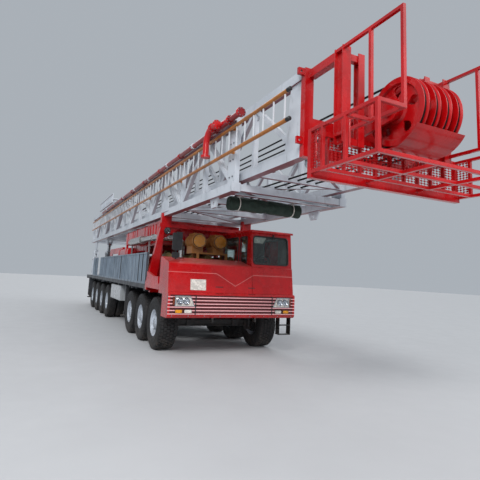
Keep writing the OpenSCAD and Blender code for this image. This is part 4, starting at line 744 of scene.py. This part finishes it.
def nose_fittings(form):
    """Joints beside the grille, two air slots, a riveted blank plate and the bumper's bolts."""
    form.use("plastic")
    for out in (-1, 1):
        low, high = mirrored(out, 0.924, 0.946)
        form.box((low, -0.003, 0.892), (high, 0.012, 1.308))
    for x in (-0.395, 0.405):
        on_front(form, (x - 0.09, 1.484), (x + 0.09, 1.500), (0.002, 0.009))
    on_front(form.use("blank"), *BLANK_PLATE, (0.005, 0.0105))
    form.use("chrome")
    for x in RIVETS_X:
        for z in RIVETS_Z:
            form.turn([(0, 0.006), (-0.003, 0.005), (-0.004, 0.002)],
                      (x, sloping_y(SLOPING_FRONT, z) - 0.0105, z), "y", 12)
    form.use("steel")
    for x in BUMPER_BOLTS_X:
        form.turn([(0.0, 0.011), (-0.008, 0.011), (-0.01, 0.008)], (x, 0.0, BUMPER_BOLTS_Z),
                  "y", 6)


def mirror_glasses(form):
    """Both glasses face the rear."""
    form.use("chrome")
    for glass_corners in MIRROR_GLASSES:
        form.plate(rounded_loop(*glass_corners, 0.02, 4), 0.425, 0.428)


def work_lamp_housing(form):
    """Shell of the round lamp below the mast rest, with its turned-in rim."""
    shell = [(0.06, 0.04), (0.05, 0.075), (0.0, 0.085), (-0.03, 0.085), (-0.034, 0.074),
             (-0.02, 0.07)]
    form.use("plastic").turn(shell, WORK_LAMP, "y", 32)


def sun_visor(form):
    """Visor in the windscreen's upper inner corner."""
    outline = ((0.52, 0.24, 2.70), (0.86, 0.24, 2.70), (0.80, 0.31, 2.55), (0.56, 0.31, 2.55))
    form.use("blank").skin([[(x, y + depth, z) for x, y, z in outline]
                            for depth in (0.0, 0.012)])


def front_trim():
    form = Form("plastic", "blank", "chrome", "steel")
    gaskets(form)
    wiper(form)
    nose_fittings(form)
    mirror_glasses(form)
    work_lamp_housing(form)
    sun_visor(form)
    form.finish("front_trim", "root")


def cleaner_covers():
    """Bolted covers on the front ends of the air cleaners, with a black band round each."""
    form = Form("gold", "plastic", "steel")
    cover = [(0.01, 0.156), (-0.018, 0.156), (-0.026, 0.148), (-0.028, 0.06), (-0.036, 0.05),
             (-0.038, 0.0001)]
    for x in CLEANERS_X:
        centre = (x, CLEANER_Y, CLEANER_Z)
        form.use("gold").turn(cover, centre, "y", 48)
        form.use("plastic").turn([(0.0, 0.171), (-0.008, 0.171), (-0.008, 0.156)], centre,
                                 "y", 48)
        form.use("steel").nuts((x, CLEANER_Y - 0.016, CLEANER_Z), "y", 0.128, 6, 0.011, -0.018)
    form.finish("cleaner_covers", "root")


def work_lamp_lens():
    form = Form("lens")
    form.turn([(-0.022, 0.072), (-0.030, 0.06), (-0.034, 0.02)], WORK_LAMP, "y", 32)
    form.finish("work_lamp_lens", "root")


def door_trim():
    """Gasket of the door's pane, and the handle."""
    form = Form("plastic", "chrome")
    form.tube([(DOOR_X, y, z) for y, z in rounded_loop(*DOOR_WINDOW, 0.04)],
              0.013, 10, loop=True)
    form.use("chrome").tube([(1.50, 1.46, 1.75), (1.548, 1.46, 1.76), (1.548, 1.46, 1.86),
                             (1.50, 1.46, 1.87)], 0.009)
    form.finish("door_trim", "cab_door")


# Inside the cab

SEAT_X = 1.0
FLOOR_Z = corners_of("cab_interior")[0].z
CUSHION_STEPS = 28
CUSHION_POWER = 0.28           # the lower, the squarer the cushion
CUSHION_SEAMS = 3
WHEEL_HUB = Vector((SEAT_X, 0.76, 2.08))
WHEEL_TILT = Matrix.Rotation(math.radians(-47), 3, "X")


def swell(value, power):
    """Power of a value between -1 and 1 that keeps its sign."""
    return math.copysign(abs(value) ** power, value)


def cushion(name, low, high, lean=0.0):
    """Crowned cushion with sewn channels, which leans backwards by lean metres per metre."""
    mid = [(a + b) / 2 for a, b in zip(low, high)]
    half = [(b - a) / 2 for a, b in zip(low, high)]
    rows = []
    for i in range(CUSHION_STEPS + 1):
        t = math.pi * (i / CUSHION_STEPS - 0.5)
        ring = []
        for a in angles(2 * CUSHION_STEPS):
            x = swell(math.cos(t) * math.cos(a), CUSHION_POWER)
            y = swell(math.cos(t) * math.sin(a), CUSHION_POWER)
            z = swell(math.sin(t), CUSHION_POWER * 2.2)
            dent = 1.0 - 0.05 * abs(math.cos(math.pi * CUSHION_SEAMS * x)) ** 12
            crown = 1.0 - 0.12 * (x * x + y * y)
            height = mid[2] + half[2] * z * dent * crown
            depth = mid[1] + half[1] * y * (dent if lean else 1.0)
            ring.append((mid[0] + half[0] * x, depth + lean * (height - low[2]), height))
        rows.append(ring)
    form = Form("vinyl")
    form.skin(rows)
    piece = form.finish(name, "root", 80, stands_for=["cab_interior"])


def seat():
    """The driver's cushion and its backrest."""
    cushion("seat_cushion", (SEAT_X - 0.25, 1.05, FLOOR_Z + 0.30),
            (SEAT_X + 0.25, 1.56, FLOOR_Z + 0.43))
    cushion("seat_back", (SEAT_X - 0.24, 1.50, FLOOR_Z + 0.43),
            (SEAT_X + 0.24, 1.60, FLOOR_Z + 1.08), 0.14)


def seat_base(form):
    """Foot plate, and the folded gaiter between it and the cushion."""
    foot = rounded_loop((SEAT_X - 0.2, 1.1), (SEAT_X + 0.2, 1.5), 0.04)
    form.use("plastic").plate(foot, FLOOR_Z, FLOOR_Z + 0.02, "z")
    fold_height = 0.046
    for k in range(6):
        inset = 0.012 * (k % 2)
        fold = rounded_loop((SEAT_X - 0.07 + inset, 1.2 + inset),
                            (SEAT_X + 0.07 - inset, 1.42 - inset), 0.03)
        low = FLOOR_Z + 0.02 + k * fold_height
        form.plate(fold, low, low + fold_height, "z")


def dash(form):
    """Dash across the cab, with three gauges."""
    section = [(0.54, FLOOR_Z), (0.60, FLOOR_Z), (0.60, 1.70), (0.56, 1.78), (0.49, 1.97),
               (0.47, 2.0), (0.23, 2.0), (0.22, 1.98), (0.22, 1.9), (0.54, 1.7)]
    form.use("plastic").plate(section, 0.53, 1.42, "x")
    form.use("chrome")
    for k in range(3):
        form.turn([(0.0, 0.05), (0.012, 0.05), (0.012, 0.044), (0.004, 0.042)],
                  (0.85 + 0.13 * k, 0.505, 1.93), "y", 32)


def steering_wheel(form):
    """Column, rim, three spokes and boss, tilted towards the driver."""
    def tilted(r, a, up=0.0):
        return tuple(WHEEL_HUB + WHEEL_TILT @ Vector((r * math.cos(a), r * math.sin(a), up)))

    form.use("plastic").tube([(SEAT_X, 0.485, 1.83), WHEEL_HUB], 0.025)
    form.tube([tilted(0.23, a) for a in angles(48)], 0.016, 12, loop=True)
    for degrees in (90, 210, 330):
        form.tube([WHEEL_HUB, tilted(0.225, math.radians(degrees))], 0.011, 8)
    form.tube([tilted(0.0, 0.0, up) for up in (-0.012, 0.014)], 0.045, 24)


def gear_lever(form):
    form.use("plastic").tube([(0.68, 0.95, FLOOR_Z), (0.69, 0.93, FLOOR_Z + 0.3),
                              (0.67, 0.9, FLOOR_Z + 0.5)], 0.009)
    form.turn([(0.0, 0.01), (0.02, 0.024), (0.045, 0.02), (0.055, 0.006)],
              (0.67, 0.9, FLOOR_Z + 0.49), "z", 20)


def cab_controls():
    form = Form("plastic", "chrome")
    seat_base(form)
    dash(form)
    steering_wheel(form)
    gear_lever(form)
    form.finish("cab_controls", "root", stands_for=["cab_interior"])


# Mast and crown

SHEAVE_Y, SHEAVE_Z = -4.95, 3.85
SHEAVES, SHEAVE_PITCH = 4, 0.19
ROPE_R, ROPE_TURN_R = 0.016, 0.402                 # of the rope, and of its turn in the groove
ROPE_END_Y = 9.0
PIPE_X, NECK_X, PIPE_Z = -1.315, -1.425, 4.43      # standpipe, and gooseneck beside it
# x and front faces of the flanges, then bolt circle, size and height of their bolts
FLANGES = ((PIPE_X, (-2.6, -2.18, -1.6), 0.066, 0.010, 0.014),
           (NECK_X, (-1.84, -1.64), 0.071, 0.009, 0.012))
FLANGE_THICKNESS = 0.04
SIDE_BOLTS_Y, SIDE_BOLTS_Z = (-2.12, -2.0), (3.45, 3.75, 4.05, 4.3)
CLAMPS_Y = [-0.35 + 1.9 * k for k in range(7)]
STRAND_PROUD = 0.003                               # of the expanded metal


def drilling_lines():
    """Wire ropes that run from the mast round each sheave and back into the mast."""
    form = Form("rope")
    for i in range(SHEAVES):
        x = (i - (SHEAVES - 1) / 2) * SHEAVE_PITCH
        path = [(x, ROPE_END_Y, SHEAVE_Z + ROPE_TURN_R)]
        for k in range(25):
            a = math.radians(90 + 180 * k / 24)
            path.append((x, SHEAVE_Y + ROPE_TURN_R * math.cos(a),
                         SHEAVE_Z + ROPE_TURN_R * math.sin(a)))
        path.append((x, ROPE_END_Y, SHEAVE_Z - ROPE_TURN_R + 0.1))
        form.tube(path, ROPE_R, 8)
    form.finish("drilling_lines", "mast_upper", 60)


def diamonds(form, origin, u, v, size, pitch, width):
    """Expanded metal over a rectangle: one raised strand round each diamond of the lattice."""
    origin, u, v = Vector(origin), Vector(u), Vector(v)
    proud = u.cross(v).normalized() * STRAND_PROUD
    counts = [int(length / step) for length, step in zip(size, pitch)]
    across, up = (side * length / count for side, length, count in zip((u, v), size, counts))
    for i in range(counts[0]):
        for j in range(counts[1]):
            middle = origin + across * (i + 0.5) + up * (j + 0.5)
            ends = [across / 2, up / 2, -across / 2, -up / 2]
            inner = [e * (1.0 - 2.2 * width / e.length) for e in ends]
            points = [middle + e for e in ends] + [middle + e + proud for e in inner]
            form.add(points, [(k, (k + 1) % 4, 4 + (k + 1) % 4, 4 + k) for k in range(4)])


def crown_mesh():
    """Expanded metal behind and beside the crown's platform."""
    form = Form("red")
    diamonds(form, (-1.24, -4.53, 3.06), (1, 0, 0), (0, 0, 1), (2.48, 0.44), (0.062, 0.036), 0.009)
    for out in (-1, 1):
        diamonds(form, (out * 1.27, -4.75, 3.04), (0, 1, 0), (0, 0, 1), (0.2, 0.48),
                 (0.05, 0.034), 0.011)
    form.finish("crown_mesh", "mast_upper", 60)


def crown_grips():
    """Grab handles on both sides of the crown's platform."""
    form = Form("red")
    for out in (-1, 1):
        for y in (-4.72, -5.3):
            form.tube([(out * 1.30, y, 3.12), (out * 1.335, y, 3.14), (out * 1.335, y, 3.42),
                       (out * 1.30, y, 3.44)], 0.010, 10)
    form.finish("crown_grips", "mast_upper")


def mast_bolts():
    """Bolts on both faces of the pipes' flanges, and on the mast's foremost side plates."""
    form = Form("steel")
    for x, fronts, radius, size, height in FLANGES:
        for y in fronts:
            for face, out in ((y, -height), (y + FLANGE_THICKNESS, height)):
                form.nuts((x, face, PIPE_Z), "y", radius, 8, size, out)
    form.nuts((NECK_X, -1.35, 3.965), "z", 0.074, 8, 0.009, 0.012)
    for out in (-1, 1):
        for y in SIDE_BOLTS_Y:
            for z in SIDE_BOLTS_Z:
                form.turn([(0, 0.016), (out * 0.014, 0.016), (out * 0.018, 0.011)],
                          (out * 1.195, y, z), "x", 6)
    form.finish("mast_bolts", "mast")


def pipe_clamps():
    """Clamps round the standpipe, each with two bolted ears."""
    form = Form("white", "steel")
    for y in CLAMPS_Y:
        form.use("white").turn([(0, 0.051), (0, 0.068), (0.06, 0.068), (0.06, 0.051)],
                               (PIPE_X, y, PIPE_Z), "y", 32)
        form.box((PIPE_X - 0.088, y + 0.01, PIPE_Z - 0.012),
                 (PIPE_X + 0.088, y + 0.05, PIPE_Z + 0.012))
        for ear in (-0.08, 0.08):
            form.use("steel").turn([(-0.022, 0.009), (0.022, 0.009)],
                                   (PIPE_X + ear, y + 0.03, PIPE_Z), "z", 6)
    form.finish("pipe_clamps", "mast")


def ladder_caps():
    """Black caps on the front ends of the ladder's rails."""
    form = Form("plastic")
    for z in (3.87, 4.29):
        form.turn([(-0.03, 0.018), (-0.02, 0.031), (0.05, 0.032)], (-1.27, -4.0, z), "y", 24)
    form.finish("ladder_caps", "mast")


# middle line and radius of the rolled tarpaulin, its ties, and where it is pinched
ROLL_Y, ROLL_Z, ROLL_R = -1.7, 3.06, 0.124
TIES_X, TIE_R = (-0.87, 0.28), 0.121
PINCHES_X = (*TIES_X, -0.3)


def roll_ring(x):
    """Outline of the roll at x, with folds along it and pinches across it."""
    pinch = sum(math.exp(-((x - p) / 0.05) ** 2) for p in PINCHES_X)
    droop = 0.006 * math.sin(3 * x)
    ring = []
    for a in angles(48):
        r = ROLL_R - 0.014 * pinch
        r += 0.004 * math.sin(5 * a + 9 * x) + 0.003 * math.sin(9 * a - 23 * x)
        if math.sin(a) < -0.2:
            r -= 0.005 * math.sin(a)
        ring.append((x, ROLL_Y + r * math.cos(a), ROLL_Z + r * math.sin(a) - droop))
    return ring


def roll_end(ring, inwards):
    """Layers of canvas that show in an end of the roll, the odd ones sunk into it."""
    layers = []
    for step in range(1, 9):
        share = 1.0 - step / 9
        depth = inwards * 0.012 * (step % 2)
        layers.append([(x + depth, ROLL_Y + (y - ROLL_Y) * share, ROLL_Z + (z - ROLL_Z) * share)
                       for x, y, z in ring])
    return layers


def tarpaulin():
    """Rolled canvas, and the ties and straps that hang it from the mast's cross member."""
    low, high = corners_of("tarpaulin")
    form = Form("canvas", "blank")
    rows = [roll_ring(low.x + (high.x - low.x) * i / 60) for i in range(61)]
    form.skin(roll_end(rows[0], 1)[::-1] + rows + roll_end(rows[-1], -1))
    form.use("blank")
    for x in TIES_X:
        form.tube([(x, ROLL_Y + TIE_R * math.cos(a), ROLL_Z + TIE_R * math.sin(a))
                   for a in angles(40)], 0.009, 8, loop=True)
        form.box((x - 0.02, low.y, ROLL_Z + TIE_R), (x + 0.02, ROLL_Y, ROLL_Z + TIE_R + 0.006))
    piece = form.finish("rolled_tarpaulin", "mast", 50, stands_for=["tarpaulin"])


# Camera, floor and light

CAMERA_PLACE = (-4.139, -8.601, 1.771)
CAMERA_ANGLES = (25.707, 8.372, -2.768)       # turn to the right, tilt upwards and roll
PICTURE, FOCAL, AXIS_ROW = 480, 422.3, 213    # size, focal length and the axis's row, in pixels
SENSOR = 36.0
# place, aim, size and power
SOFT_LAMPS = {"key": ((-9, -11, 9), (-1, 0, 2.5), 4.0, 500.0),
              "front": ((1, -17, 7), (0, 0, 2), 3.0, 350.0)}
# heading, strength and spread in degrees
SUNS = {"day": ((0.55, 0.7, -0.8), 1.7, 20), "side": ((-0.8, 0.4, -0.6), 0.5, 40),
        "back": ((-0.2, -0.8, -0.7), 0.5, 40)}


def place_camera():
    """The photograph's viewpoint, solved from the tyres, the bumper and the mast."""
    turn, tilt, roll = (math.radians(d) for d in CAMERA_ANGLES)
    ahead = Vector((math.sin(turn) * math.cos(tilt), math.cos(turn) * math.cos(tilt),
                    math.sin(tilt)))
    level = Vector((math.cos(turn), -math.sin(turn), 0.0))
    down = -level.cross(ahead)
    right = math.cos(roll) * level + math.sin(roll) * down
    up = math.sin(roll) * level - math.cos(roll) * down
    data = bpy.data.cameras.new("camera")
    data.sensor_width = SENSOR
    data.lens = SENSOR * FOCAL / PICTURE
    data.shift_y = (AXIS_ROW - PICTURE / 2) / PICTURE
    data.clip_end = 200.0
    camera = bpy.data.objects.new("camera", data)
    scene.collection.objects.link(camera)
    camera.matrix_world = Matrix((right, up, -ahead)).transposed().to_4x4()
    camera.location = at(*CAMERA_PLACE)
    scene.camera = camera


def lay_floor():
    bpy.ops.mesh.primitive_plane_add(size=160.0)
    floor = bpy.context.object
    floor.name = "floor"
    s = Shader("pale_floor")
    floor.data.materials.append(s.done({
        "Base Color": s.mix(s.noise(0.8), colour("c0c1c3"), colour("b9babc")),
        "Roughness": s.cloud(2.5, 4.0, 0.5, 0.3, 0.7, 0.6, 0.75),
        "Normal": s.bump(s.noise(40.0), 0.0005, 0.3)}))


def add_light(name, kind, heading, energy):
    """Light that shines along a heading."""
    lamp = bpy.data.objects.new(name, bpy.data.lights.new(name, kind))
    lamp.data.energy = energy
    lamp.rotation_euler = heading.to_track_quat("-Z", "Y").to_euler()
    scene.collection.objects.link(lamp)
    return lamp


def light_up():
    """Pale world, soft lamps before the front, and broad suns along the length."""
    world = bpy.data.worlds.new("studio")
    scene.world = world
    world.use_nodes = True
    background = world.node_tree.nodes["Background"].inputs
    background["Color"].default_value = (0.80, 0.87, 0.95, 1.0)
    background["Strength"].default_value = 0.5
    for name, (place, aim, size, power) in SOFT_LAMPS.items():
        lamp = add_light(name, "AREA", Vector(aim) - Vector(place), power)
        lamp.data.size = size
        lamp.location = at(*place)
    # the suns reach the raised mast too
    for name, (heading, strength, spread) in SUNS.items():
        add_light(name, "SUN", Vector(heading), strength).data.angle = math.radians(spread)


place_camera()
dress_nodes()
wheels()
headlamps()
front_trim()
cleaner_covers()
work_lamp_lens()
door_trim()
seat()
cab_controls()
drilling_lines()
crown_mesh()
crown_grips()
mast_bolts()
pipe_clamps()
ladder_caps()
tarpaulin()
lay_floor()
light_up()
scene.view_settings.view_transform = "Standard"
